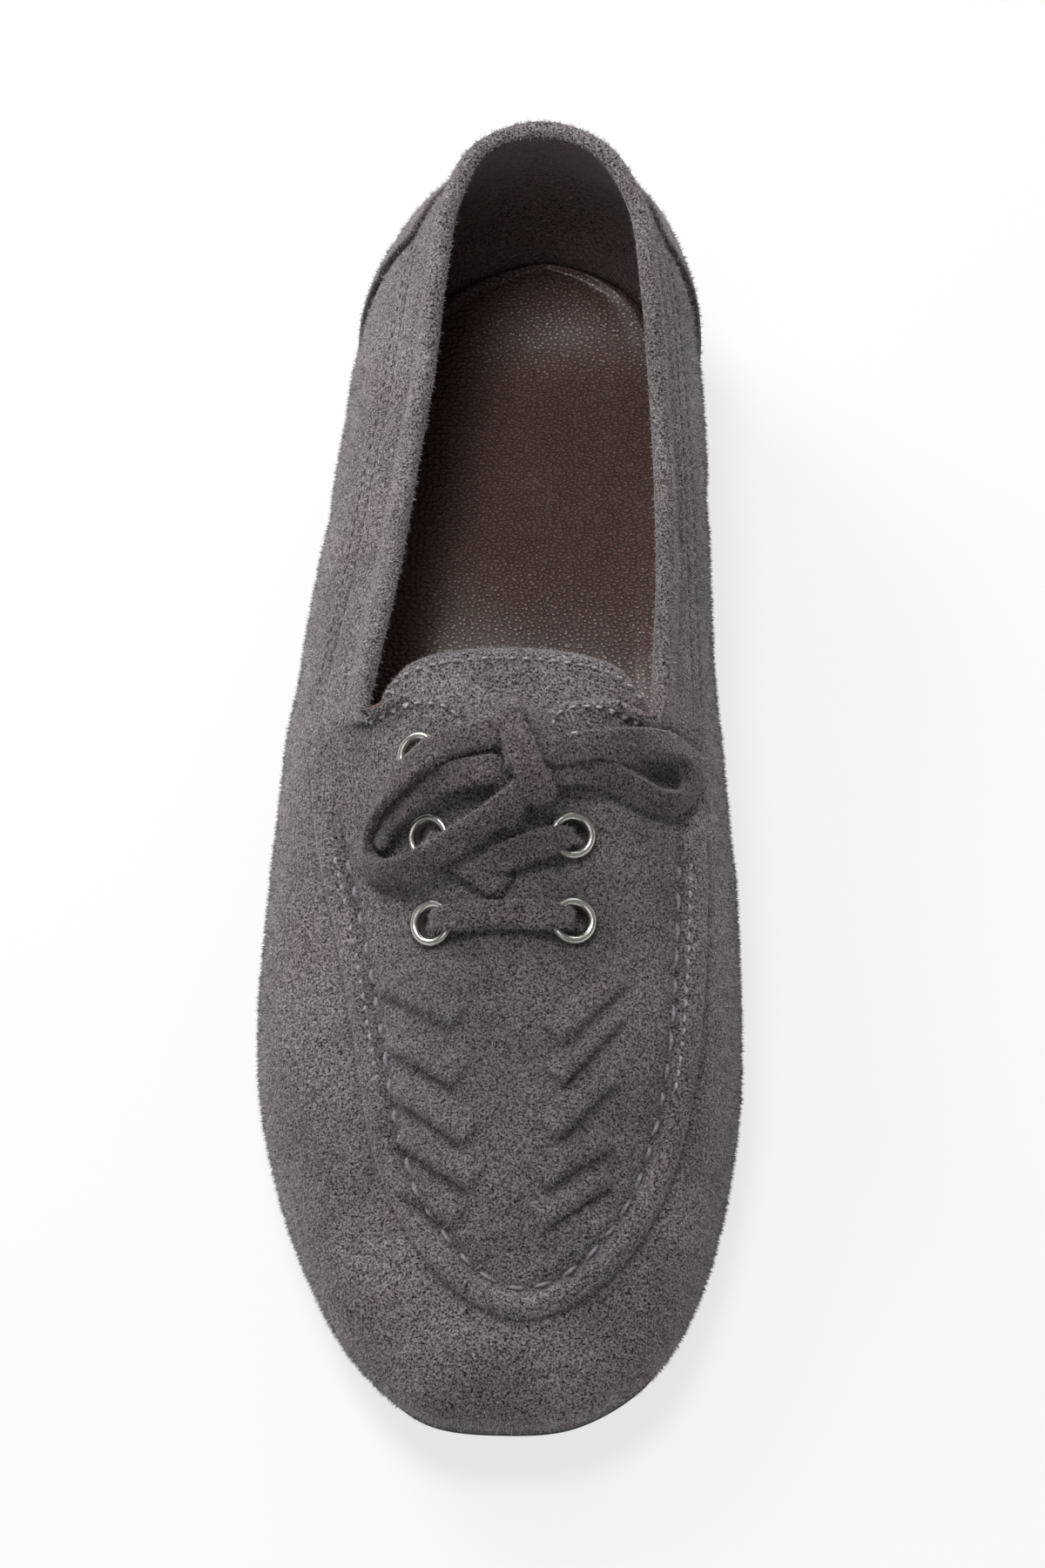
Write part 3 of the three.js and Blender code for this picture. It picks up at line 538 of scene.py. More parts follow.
def nickelPlate(name, colors):
    material, tree, shader, place = startMaterial(name)
    clouds = addNode(tree, "TexNoise", {"Vector": place, "Scale": 1 / colors["cloudSize"], "Detail": 3})
    clouds = addNode(tree, "MapRange", {"Value": clouds, "From Min": 0.5, "From Max": 0.8, "To Max": 0.45})
    marks = addNode(tree, "TexNoise", {"Vector": place, "Scale": 1 / colors["markSize"]})
    shade = addNode(tree, "Attribute", paintedShade, "Fac")
    color = linear(colors["base"])
    # the warm grey: tarnish in clouds, then painted shade down the barrel and under the rim
    for share in (clouds, shade):
        color = addNode(tree, "Mix", {**colorMix, 0: share, 6: color, 7: linear(colors["tarnishAndShade"])}, 2)
    roughness = addNode(tree, "MapRange", {"Value": marks, "From Min": 0.3, "From Max": 0.7,
                                           "To Min": 0.24, "To Max": 0.38})
    bump = addNode(tree, "Bump", {"Strength": 0.2, "Distance": 0.03 * mm, "Height": marks})
    fill(tree, shader, {"Base Color": color, "Roughness": roughness, "Normal": bump, "Metallic": 1.0})
    return material


# Thread, waxed polyester: two plies laid round each other, a little shinier than the nap round it.
# The plies are drawn about twice as coarse as the real ones
thread = {
    "hand": ("99959b", "6d686f"),  # painted light on a ply, then painted shade in the groove between plies
    "machine": ("bdb9b8", "8a8584"),
    "dark": ("4a4548", "332f32"),
    "plySize": 0.5,  # mm
}


def waxedThread(name, codes, plySize):
    material, tree, shader, place = startMaterial(name)
    lit, groove = (linear(code) for code in codes)
    plies = addNode(tree, "TexNoise", {"Vector": place, "Scale": 1 / plySize, "Detail": 1})
    share = addNode(tree, "MapRange", {"Value": plies, "From Min": 0.35, "From Max": 0.65})
    # painted light on the plies and painted shade in the grooves between them, mixed by a noise
    color = addNode(tree, "Mix", {**colorMix, 0: share, 6: groove, 7: lit}, 2)
    bump = addNode(tree, "Bump", {"Strength": 0.6, "Distance": 0.1 * mm, "Height": plies})
    fill(tree, shader, {"Base Color": color, "Normal": bump, "Roughness": 0.6, "Sheen Weight": 0.2})
    return material


suedeShades = {  # the same suede in other colours: lace and lining in their own dyes, the tongue in the upper's dye painted lighter as painted light, and the inside of the slits painted dark as painted shadow
    # tongue: the upper's suede painted lighter, painted light on the tongue
    "tongue": {"deep": "5e585a", "base": "7a7476", "light": "918b8d", "mauve": "7d686a"},
    "lace": {"deep": "413b3d", "base": "565051", "light": "6f6769", "mauve": "6f5b58", "cloudSize": 12},
    "lining": {"deep": "453430", "base": "5a4642", "light": "6f5953", "mauve": "5f4843", "seam": "2b201e"},
    # slit: the dark sliver's colours, painted shadow inside the slits
    "slit": {"deep": "262324", "base": "312d2e", "light": "3d3839", "mauve": "2b2424"},
}
suedeMaterial = brushedSuede("grey_suede", suede)
tongueLitMaterial, laceMaterial, liningMaterial, slitShadowMaterial = (
    brushedSuede(name + "_suede", {**suede, **shades}) for name, shades in suedeShades.items())
leatherMaterial = pebbledLeather("sock_leather", sock)
rubberMaterial = mouldedRubber("sole_rubber", rubber)
plateMaterial = nickelPlate("eyelet_plate", plate)
handThread, machineThread, darkThread = (
    waxedThread(name + "_thread", thread[name], thread["plySize"]) for name in ("hand", "machine", "dark"))
print("materials made")


# Meshes
def makePiece(name, vertices, faces, materials, node, shades=None, faceMaterials=None):
    mesh = bpy.data.meshes.new(name)
    mesh.from_pydata([tuple(toFrame(v)) for v in vertices], [], faces)
    for material in materials:
        mesh.materials.append(material)
    if faceMaterials:
        mesh.polygons.foreach_set("material_index", faceMaterials)
    attribute = mesh.attributes.new("shade", "FLOAT", "POINT")
    attribute.data.foreach_set("value", shades or [0.0] * len(vertices))
    work = bmesh.new()
    work.from_mesh(mesh)
    bmesh.ops.delete(work, geom=[v for v in work.verts if not v.link_faces], context="VERTS")
    bmesh.ops.remove_doubles(work, verts=work.verts, dist=1e-6)
    bmesh.ops.dissolve_degenerate(work, edges=work.edges, dist=1e-7)
    bmesh.ops.recalc_face_normals(work, faces=work.faces)
    for face in work.faces:
        face.smooth = True
    work.to_mesh(mesh)
    work.free()
    piece = addObject(name, mesh)
    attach(piece, "root")
    if node:
        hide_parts(node)
    return piece


def gridFaces(rows, columns, around=False, along=False, skip=None):
    faces = []
    for r in range(rows if along else rows - 1):
        for k in range(columns if around else columns - 1):
            if skip and skip(r, k):
                continue
            a = r * columns + k
            b = r * columns + (k + 1) % columns
            nextRow = (r + 1) % rows * columns
            faces.append((a, b, nextRow + (k + 1) % columns, nextRow + k))
    return faces


# A flat cut strip: its section is a rounded oblong, and the knife wavered a little along it
stripSides = 16
waver = {"reach": 0.12, "pace": 0.9}  # mm, and turns in each mm


def roundedStrip(route, steps, width, thickness, seed):
    corners = []
    for k in range(stripSides):
        angle = (k + 0.5) / stripSides * 2 * math.pi
        c, s = math.cos(angle), math.sin(angle)
        corners.append((math.copysign(abs(c) ** 0.35, c), math.copysign(abs(s) ** 0.6, s)))
    path = spline([stop[0] for stop in route], False)
    rings, centres = [], []
    spans = len(route) - 1
    for k in range(steps + 1):
        share = k / steps
        place = share * spans
        before = min(int(place), spans - 1)
        a, b, part = route[before], route[before + 1], place - before
        tangent = tangentOf(path, share)
        face = a[1].lerp(b[1], part)
        face = (face - tangent * face.dot(tangent)).normalized()
        side = tangent.cross(face)
        ends = clamp(min(share, 1 - share) * steps / 1.5, 0.72, 1)
        half = 0.5 * width * mix(a[2], b[2], part) * ends
        deep = 0.5 * thickness * mix(a[3], b[3], part) * ends
        middle = path(share)
        centres.append(middle)
        ring = []
        for w, t in corners:
            point = middle + side * (w * half) + face * (t * deep)
            cutAway = noise.noise(point * waver["pace"] + Vector((seed, 0, 0)))
            ring.append(point + side * (waver["reach"] * cutAway))
        rings.append(ring)
    vertices = [p for ring in rings for p in ring]
    faces = gridFaces(len(rings), stripSides, around=True)
    faces.append(tuple(range(stripSides)))
    faces.append(tuple(range(steps * stripSides, (steps + 1) * stripSides)))
    return vertices, faces, centres


# painted shade on the back face of each strip
def stripShades(vertexCount):
    under = 0.45  # painted shade on each strip's back face, the side turned away from its face
    return [under if k % stripSides >= stripSides // 2 else 0.0 for k in range(vertexCount)]


# Loose fibres of the nap: short closed spikes in four shades of the dye, which break the edges up. Each
# stands for a tuft of the real ones, which are far thinner
nap = {
    "shades": ["464143", "726d6f", "9a9697", "b6b3b4"],
    "laceShades": ["3a3537", "5f595b", "837d7f", "a5a0a1"],
    "shortest": 0.4,  # mm
    "longest": 1.15,
    "thickness": 0.2,
    "lean": 0.45,
    "lay": (0.25, -0.6, -0.35),  # brushed towards the toe and down
    "spread": 0.6,
    "leastRise": 0.3,
    "sunk": 0.08,  # mm
}
spikeBase = ((1, 0), (-0.5, 0.87), (-0.5, -0.87))
spikeSides = ((0, 1, 3), (1, 2, 3), (2, 0, 3), (0, 2, 1))


def fibreMaterials(label, codes):
    return [plainMaterial(f"{label}_fibre_{number}", {
        "Base Color": linear(code), "Roughness": 1.0, "Specular IOR Level": 0.1, "Sheen Weight": 0.3,
    }) for number, code in enumerate(codes)]


suedeFibres = fibreMaterials("suede", nap["shades"])
laceFibres = fibreMaterials("lace", nap["laceShades"])


def readValues(items, what, each, kind=float):
    values = np.empty(each * len(items), dtype=kind)
    items.foreach_get(what, values)
    return values.reshape(len(items), each)


def makeNap(name, sources, count, materials, seed, keep=None, reach=1.0):
    draw = np.random.default_rng(seed)
    corners, normals = [], []
    for piece in sources:
        mesh = piece.data
        mesh.calc_loop_triangles()
        triangles = readValues(mesh.loop_triangles, "vertices", 3, int)
        outside = readValues(mesh.loop_triangles, "material_index", 1, int)[:, 0] == 0
        corners.append(readValues(mesh.vertices, "co", 3)[triangles][outside])
        normals.append(readValues(mesh.loop_triangles, "normal", 3)[outside])
    corners, normals = np.concatenate(corners), np.concatenate(normals)
    middles = corners.mean(axis=1)
    crossed = np.cross(corners[:, 1] - corners[:, 0], corners[:, 2] - corners[:, 0])
    weight = 0.5 * np.linalg.norm(crossed, axis=1)
    if keep:
        weight = weight * keep(middles, normals)
    picked = draw.choice(len(weight), count, p=weight / weight.sum())
    a, b = draw.random((2, count, 1))
    flip = (a + b) > 1
    a, b = np.where(flip, 1 - a, a), np.where(flip, 1 - b, b)
    root = corners[picked, 0] * (1 - a - b) + corners[picked, 1] * a + corners[picked, 2] * b
    normal = normals[picked]
    wild = draw.normal(size=(count, 3)) * nap["spread"]
    way = normal + wild + np.array(nap["lay"]) * nap["lean"]
    way -= normal * np.minimum((way * normal).sum(axis=1, keepdims=True) - nap["leastRise"], 0)
    way /= np.linalg.norm(way, axis=1, keepdims=True)
    side = np.cross(normal, draw.normal(size=(count, 3)))
    side /= np.linalg.norm(side, axis=1, keepdims=True)
    other = np.cross(normal, side)
    slope = np.linalg.norm(normal[:, :2], axis=1, keepdims=True)
    length = draw.uniform(nap["shortest"], nap["longest"], (count, 1)) * (0.5 + 0.5 * slope) * reach * mm
    radius = 0.5 * nap["thickness"] * mm
    sunk = root - normal * nap["sunk"] * mm
    base = [sunk + side * radius * s + other * radius * o for s, o in spikeBase]
    spikes = np.stack(base + [root + way * length], axis=1)
    first = np.arange(count)[:, None] * 4
    sides = np.concatenate([first + np.array([face]) for face in spikeSides])
    mesh = bpy.data.meshes.new(name)
    mesh.from_pydata(spikes.reshape(-1, 3).tolist(), [], sides.tolist())
    for material in materials:
        mesh.materials.append(material)
    tint = np.clip(draw.normal(1.5, 0.9, count).round(), 0, 3).astype(int)
    mesh.polygons.foreach_set("material_index", np.tile(tint, 4))
    piece = addObject(name, mesh)
    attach(piece, "root")
    return piece


# The bow: its routes are the solids' own, in metres, y from the toe tip: place, then the way the face looks
bow = {
    "width": 5.6,  # mm
    "thickness": 2,
    "knotMiddle": Vector((4.8, 119.4, 67.5)),
    "knotHalf": Vector((3.7, 4.6, 2.3)),
    "knotSquareness": 0.75,
}
bowRoutes = {
    "bow_loop_outer": [
        (0.0004, 0.1222, 0.0682, 0, -0.2, 1),
        (-0.0048, 0.122, 0.0676, -0.1, -0.2, 1),
        (-0.0104, 0.1204, 0.0668, -0.2, -0.2, 1),
        (-0.0159, 0.1174, 0.0642, -0.4, 0, 0.9),
        (-0.0207, 0.1143, 0.0596, -0.5, 0.2, 0.8),
        (-0.0243, 0.1114, 0.0534, -0.7, 0.4, 0.6),
        (-0.0258, 0.1079, 0.0492, -0.9, 0.2, 0.4),
        (-0.0252, 0.1043, 0.0478, -0.8, -0.5, 0.4),
        (-0.0218, 0.1009, 0.0502, -0.4, -0.9, 0.5),
        (-0.0164, 0.0998, 0.0552, -0.2, -0.8, 0.8),
        (-0.0105, 0.1013, 0.0596, 0, -0.7, 0.9),
        (-0.0049, 0.1042, 0.062, 0.1, -0.6, 0.9),
        (0.0002, 0.1075, 0.0636, 0.1, -0.6, 0.9),
        (0.0039, 0.1103, 0.0648, 0.1, -0.6, 0.8),
    ],
    "bow_loop_inner": [
        (0.009, 0.1184, 0.0682, 0, -0.4, 1),
        (0.0137, 0.1197, 0.0676, 0, -0.4, 1),
        (0.0194, 0.1217, 0.0656, 0.1, -0.4, 1),
        (0.0253, 0.1238, 0.0624, 0.3, -0.3, 0.9),
        (0.0313, 0.126, 0.0576, 0.5, 0, 0.8),
        (0.0354, 0.1268, 0.0528, 0.8, 0.4, 0.5),
        (0.0373, 0.1247, 0.0494, 1, 0.2, 0.4),
        (0.0369, 0.1211, 0.0478, 0.9, -0.5, 0.4),
        (0.0345, 0.1175, 0.0492, 0.5, -0.9, 0.4),
        (0.0307, 0.1163, 0.0522, 0.2, -0.9, 0.5),
        (0.0265, 0.1169, 0.0558, 0, -0.8, 0.6),
        (0.0222, 0.1176, 0.0592, -0.1, -0.7, 0.7),
        (0.018, 0.1177, 0.0622, -0.1, -0.6, 0.8),
        (0.0137, 0.1166, 0.0644, 0, -0.5, 0.8),
        (0.0097, 0.1159, 0.0654, 0, -0.5, 0.8),
    ],
    "bow_end_outer": [
        (0.001, 0.1158, 0.0664, -0.1, -0.4, 1),
        (-0.0039, 0.1156, 0.0654, -0.1, -0.4, 1),
        (-0.0095, 0.1148, 0.0634, -0.2, -0.3, 1),
        (-0.0145, 0.1133, 0.0602, -0.4, -0.2, 0.9),
        (-0.0189, 0.1113, 0.0562, -0.6, -0.1, 0.8),
        (-0.0218, 0.1087, 0.0524, -0.8, 0.1, 0.6),
        (-0.0228, 0.1057, 0.0506, -1, 0, 0.4),
    ],
    "bow_end_front": [
        (0.0028, 0.1228, 0.071, -0.1, 0.3, 1),
        (0.0045, 0.1187, 0.0713, -0.1, 0, 1),
        (0.0063, 0.1146, 0.0706, 0, -0.4, 1),
        (0.0081, 0.1115, 0.0684, 0.1, -0.7, 0.7),
        (0.0097, 0.1094, 0.0654, 0.2, -0.9, 0.5),
    ],
}


def makeBowStrip(name):
    route = [(Vector(row[:3]) / mm, Vector(row[3:]), 1, 1) for row in bowRoutes[name]]
    steps = 8 * (len(route) - 1)
    vertices, faces, centres = roundedStrip(route, steps, bow["width"], bow["thickness"], len(name))
    piece = makePiece(name + "_suede", vertices, faces, [laceMaterial], name,
                      stripShades(len(vertices)))
    return piece, [toFrame(c) for c in centres]


knotStraps = [  # what is wound round the knot: rows as in the routes, in mm, with width and thickness shares
    [((1.6, 123.9, 66.6), (-0.4, 0.5, 0.8), 0.8, 0.8), ((2.6, 126.2, 68.6), (-0.2, 0.5, 0.9), 0.75, 0.9),
     ((4.6, 127.4, 69.2), (0.1, 0.6, 0.9), 0.7, 0.9), ((7, 125.9, 69), (0.4, 0.3, 0.9), 0.85, 0.9),
     ((8.8, 122.6, 68.6), (0.6, 0, 0.8), 0.9, 0.9), ((9.2, 118.8, 67.6), (0.7, -0.3, 0.7), 0.9, 0.8),
     ((8.4, 115.4, 66.2), (0.6, -0.6, 0.6), 0.8, 0.7)],
    [((3.4, 121.4, 70.6), (-0.1, 0.2, 1), 0.96, 0.9), ((2.4, 124.3, 71.1), (-0.2, 0.2, 1), 0.95, 0.8),
     ((1.9, 127, 70.5), (-0.3, 0.5, 0.9), 0.8, 0.8), ((2.2, 129.2, 68.7), (-0.3, 0.8, 0.6), 0.62, 0.8),
     ((3.2, 130, 66.4), (-0.2, 1, 0.2), 0.5, 0.8)],
    [((0.6, 107.6, 63.8), (0.1, -0.6, 0.9), 0.9, 0.8), ((4.6, 110.9, 65.1), (0.1, -0.6, 0.9), 0.95, 0.8),
     ((7.6, 113.6, 66), (0.3, -0.5, 0.9), 0.9, 0.8), ((9, 116.4, 66.4), (0.4, -0.2, 0.9), 0.8, 0.8)],
]


def makeKnot():
    vertices = []
    rows, columns = 24, 40
    middle, half = bow["knotMiddle"], bow["knotHalf"]
    for r in range(rows):
        tilt = math.pi * (r + 0.5) / rows
        for k in range(columns):
            turn = 2 * math.pi * k / columns
            way = Vector((math.sin(tilt) * math.cos(turn), math.sin(tilt) * math.sin(turn), math.cos(tilt)))
            square = Vector([math.copysign(abs(c) ** bow["knotSquareness"], c) for c in way])
            fold = 1 - 0.12 * smooth(abs(math.sin(2.5 * way.y + 0.8 * way.x)), 0.85, 1)
            vertices.append(middle + Vector([square[i] * half[i] * fold for i in range(3)]))
    faces = gridFaces(rows, columns, around=True)
    faces.append(tuple(range(columns)))
    faces.append(tuple(range((rows - 1) * columns, rows * columns)))
    for number, stops in enumerate(knotStraps):
        route = [(Vector(place), Vector(face), width, thick) for place, face, width, thick in stops]
        strap, strapFaces, _ = roundedStrip(route, 10 * len(route), bow["width"], bow["thickness"], number)
        faces += [tuple(k + len(vertices) for k in face) for face in strapFaces]
        vertices += strap
    return makePiece("bow_knot_suede", vertices, faces, [laceMaterial], "bow_knot")


bowPieces = {name: makeBowStrip(name) for name in bowRoutes}
knotPiece = makeKnot()
bowNap = makeNap("bow_nap", [piece for piece, _ in bowPieces.values()] + [knotPiece], 14000, laceFibres,
                 11, reach=0.85)
print("bow made")


# Upper: the solid's own function, with lip, band, saddle, woven strips, eyelet dimples and folds on it
upper = {
    "bandStep": 0.8,  # mm
    "rollHeight": 0.9,
    "saddleStep": 0.55,
    "slackHeight": 0.2,
    "slackSize": 24,
    "rippleHeight": 0.09,
    "rippleSize": 7,
    "dimpleDepth": 0.3,
    "dimpleRadius": 7,
    "eyeletRadius": 4.7,
    "eyeletHole": 3.65,
    "tuckedUnder": 4,
}
# Stitch lines: mm past the seam, but the last two are mm before an edge
stitchLines = {"apron": 5.7, "lip": 4.2, "band": 3.4, "fold": 0.9, "tab": 2.4, "tongue": 2.2}
lipProfile = [  # mm past the seam, mm high
    (-0.7, 0), (-0.1, 0.25), (0.3, 1.15), (0.9, 1.62), (2.1, 1.9), (3.4, 1.75),
    (4.3, 1.2), (5.1, 0), (5.8, -0.5), (6.8, -0.2), (8.2, 0),
]
saddleEnds = (11.35, 12.0)  # sections where the saddle's back seam meets the side seam and the collar
vampShade = {"middle": (3, 76), "half": (22, 38), "shade": 0.3}  # mm: the vamp's middle, under the laces and bow, painted darker as painted shade

# Slits of the herringbone, outer side then inner: both ends in mm across and from the toe tip, and how far
# each gapes, as a share of the widest
slits = [
    ((-22, 80.4), (-7.3, 70.6), 0.3),
    ((-20.6, 69.4), (-6.9, 59.7), 0.9),
    ((-19.4, 60.3), (-4.8, 48.9), 0.8),
    ((-18.2, 51.3), (-3.6, 40.8), 0.7),
    ((-17, 42.3), (-6.7, 34.5), 0.6),
    ((25.9, 81.4), (13.8, 67.4), 0.2),
    ((25.3, 74.1), (14, 60.1), 0.25),
    ((24, 62.2), (13.5, 50.2), 0.3),
    ((24, 50.4), (11.3, 41.1), 0.4),
    ((23.7, 43.2), (10.7, 33.9), 1),
]
woven = {"width": 5.4, "height": 1.2, "gapDepth": 0.45, "slitWidth": 0.5}  # mm

# Folds: both ends as section and height on the skin, width and depth in mm (minus is a ridge)
foldColumns = ("start", "end", "width", "depth")
foldRows = [
    ((13.1, 0.9), (13.9, 1.9), 7, 0.55),
    ((12.4, 1.1), (13.0, 1.8), 6, -0.35),
    ((15.4, 0.8), (14.8, 1.7), 8, 0.5),
    ((26.6, 1.0), (25.8, 1.9), 7, 0.5),
    ((27.6, 1.2), (26.8, 1.85), 6, -0.3),
    ((24.4, 0.9), (24.9, 1.7), 8, 0.5),
    ((7.4, 1.2), (9.6, 1.75), 7, 0.4),
    ((32.8, 1.2), (30.4, 1.75), 7, 0.4),
    ((5.2, 2.55), (5.4, 2.95), 6, 0.35),
    ((34.9, 2.5), (34.7, 2.95), 6, 0.35),
    ((3.2, 1.3), (5.0, 1.5), 9, 0.35),
    ((37.0, 1.25), (35.2, 1.5), 9, 0.3),
    ((0.8, 1.45), (39.2, 1.5), 7, 0.25),
    ((14.2, 2.45), (16.4, 2.6), 5, 0.35),
    ((26.0, 2.5), (23.8, 2.6), 5, 0.35),
]


def foldLine(row):
    (u0, v0), (u1, v1) = row[0], row[1]
    if u1 - u0 > heelSection:
        u1 -= ringSize
    return [skin(mix(u0, u1, k / 6), mix(v0, v1, k / 6)) for k in range(7)]


folds = [dict(zip(foldColumns, row), line=foldLine(row)) for row in foldRows]
eyeletPairs = [  # share of the length, then shares of the ball width to the outer and the inner eyelet
    ("bottom", 0.345, -0.125, 0.158),
    ("middle", 0.405, -0.136, 0.152),
    ("top", 0.4625, -0.161, 0.158),
]
eyelets = {}
for pairName, along, outward, inner in eyeletPairs:
    for side, across in (("outer", outward), ("inner", inner)):
        eyelets[(pairName, side)] = vampAt(across * last["ballWidth"], along * last["length"])


def profileAt(table, value):
    if value <= table[0][0] or value >= table[-1][0]:
        return 0.0
    for (a, low), (b, high) in zip(table, table[1:]):
        if value <= b:
            return mix(low, high, smooth(value, a, b))
    return 0.0


def lineDistance(point, line):
    nearest, place = 1e9, 0.0
    for k, (a, b) in enumerate(zip(line, line[1:])):
        along = b - a
        share = clamp((point - a).dot(along) / along.length_squared)
        distance = (point - a - along * share).length
        if distance < nearest:
            nearest, place = distance, (k + share) / (len(line) - 1)
    return nearest, place


def wovenAt(x, y):
    height, shade = 0.0, 0.0
    width = woven["width"]
    for (x0, y0), (x1, y1), _ in slits:
        along = Vector((x1 - x0, y1 - y0))
        length = along.length
        along /= length
        across = Vector((-along.y, along.x))
        if across.y < 0:
            across = -across
        offset = Vector((x - x0, y - y0))
        s, d = offset.dot(along), offset.dot(across)
        if -3 < s < length + 3 and -3 < d < width + 2:
            ends = smooth(s, -0.9, 0.9) * (1 - smooth(s, length - 0.9, length + 0.9))
            slope = 1 - 0.7 * smooth(d, 1.4, width)
            lift = smooth(d, -0.3, 0.9) * slope * (1 - smooth(d, width - 0.5, width + 0.7))
            gap = bell(d, -0.7, 0.9)
            rim = bell(d - width, 0.3, 0.5)
            tuck = bell(s, -0.2, 0.5) + bell(s - length, 0.2, 0.5)
            inside = smooth(d, 0.2, 1.2) * (1 - smooth(d, width - 1, width))
            height += ends * (woven["height"] * lift - woven["gapDepth"] * gap)
            # painted shade in each slit's gap, along the far rim of each strip and where its ends tuck under
            shade += ends * (0.4 * gap + 0.16 * rim) + 0.22 * tuck * inside
    return height, min(shade, 0.9)


# Along the seam: the apron's lip and its stitch line, then the folded band with its roll at the collar, with
# painted shade at the lip's foot, in the trough of the apron stitches, under the band's edge and in its
# stitch groove
def seamRelief(folded, v, past, reach):
    lip = 1 - smooth(folded, slitFoot + 0.8, slitFoot + 2.4)
    band = smooth(folded, throat + 0.1, throat + 1)
    height = lip * profileAt(lipProfile, past) + upper["bandStep"] * band * smooth(past, -0.15, 0.55)
    # painted shade at the lip's foot and in the stitch trough, then under the band's edge and in its stitch
    # groove
    shade = lip * (0.4 * bell(past, -0.4, 0.5) + 0.38 * bell(past, stitchLines["apron"], 0.9))
    shade += band * (0.5 * bell(past, -0.2, 0.35) + 0.25 * bell(past, stitchLines["band"], 0.35))
    height -= band * 0.3 * bell(past, stitchLines["band"], 0.45)
    if v > 2:
        fromEdge = (3 - v) * reach
        roll = bell(fromEdge, 2.6, 2.4) - 0.4 * bell(fromEdge, 6.6, 1.1)
        height += band * upper["rollHeight"] * roll
    return height, shade


# The saddle's cut edge, a step that runs out over the saddle, with painted shade along the step
def saddleRelief(folded, v, past):
    height = 0.0
    back = (mix(*saddleEnds, clamp(v - 2)) - folded) * 8
    edge = min(past, back)
    weight = smooth(folded, 8.1, 9.2)
    if edge > 0:
        height = weight * upper["saddleStep"] * smooth(edge, 0, 0.5) * math.exp(-edge / 7)
    # painted shade along the step
    return height, weight * 0.45 * bell(edge, -0.2, 0.4)


def reliefAt(u, v, point):
    folded = min(u, ringSize - u)
    reach = columnAt(u)["reach"]
    past = (v - 2) * (reach if v > 2 else 34)  # the wall below the seam is about 34 mm high
    height, shade = seamRelief(folded, v, past, reach)
    if 8 < folded < 12.4:
        step, dark = saddleRelief(folded, v, past)
        height += step
        shade += dark
    if v > 2.1 and folded < 7.5:
        strips, dark = wovenAt(point.x, point.y)
        height += strips
        shade += dark
    if v > 2.2 and folded < 12:
        for place, _ in eyelets.values():
            distance = math.hypot(point.x - place.x, point.y - place.y)
            if distance < 2 * upper["dimpleRadius"]:
                height -= upper["dimpleDepth"] * bell(distance, 0, upper["dimpleRadius"])
                # painted shade in a ring round each eyelet, where its rim sits on the suede
                shade += 0.25 * bell(distance, upper["eyeletRadius"], 0.6)
        # painted shade over the vamp's middle, under the laces and bow
        (x, y), (wide, long) = vampShade["middle"], vampShade["half"]
        shade += vampShade["shade"] * math.exp(-((point.y - y) / long) ** 4 - ((point.x - x) / wide) ** 4)
    for fold in folds:
        if (point - fold["line"][3]).length < 40:
            distance, place = lineDistance(point, fold["line"])
            fade = math.sin(math.pi * clamp(place, 0.04, 0.96)) ** 0.7
            height -= fold["depth"] * fade * bell(distance, 0, 0.5 * fold["width"])
    covered = smooth(folded, 16.4, 17.2) * (1 - smooth(v, 1.96, 2.02))  # flat below the heel counter
    loose = upper["slackHeight"] * noise.noise(point / upper["slackSize"])
    loose += upper["rippleHeight"] * noise.noise(point / upper["rippleSize"])
    height += loose * (1 - covered) * smooth(v, 0.1, 0.7)
    return height, clamp(shade)


def outerPoint(u, v):
    base = skin(u, v)
    return base + skinNormal(u, v) * reliefAt(u % ringSize, v, base)[0]


def edgeRound(u):
    return 1.3 * smooth(min(u, ringSize - u), slitFoot, slitFoot + 0.6)


def upperColumns():
    spans = ((0, 2, 12), (2, slitFoot, 22), (slitFoot, throat, 16), (throat, heelSection, 9))
    columns = []
    for start, end, count in spans:
        steps = (end - start) * count
        columns += [mix(start, end, k / steps) for k in range(steps)]
    mirrored = [ringSize - u for u in reversed(columns) if u > 0]
    return columns + [heelSection] + mirrored


# The rolled edge of the collar and of the slit, from the outer face round to the lining
def edgePoint(u, angle):
    base, radius = skin(u, 3), edgeRound(u)
    high = reliefAt(u, 3 - radius / columnAt(u)["reach"], base)[0]
    towards = (base - skin(u, 2.92)).normalized()
    half = 0.5 * (high + last["wall"])
    rise = high - half + half * math.cos(angle)
    return base + towards * (radius * (math.sin(angle) - 1)) + skinNormal(u, 3) * rise


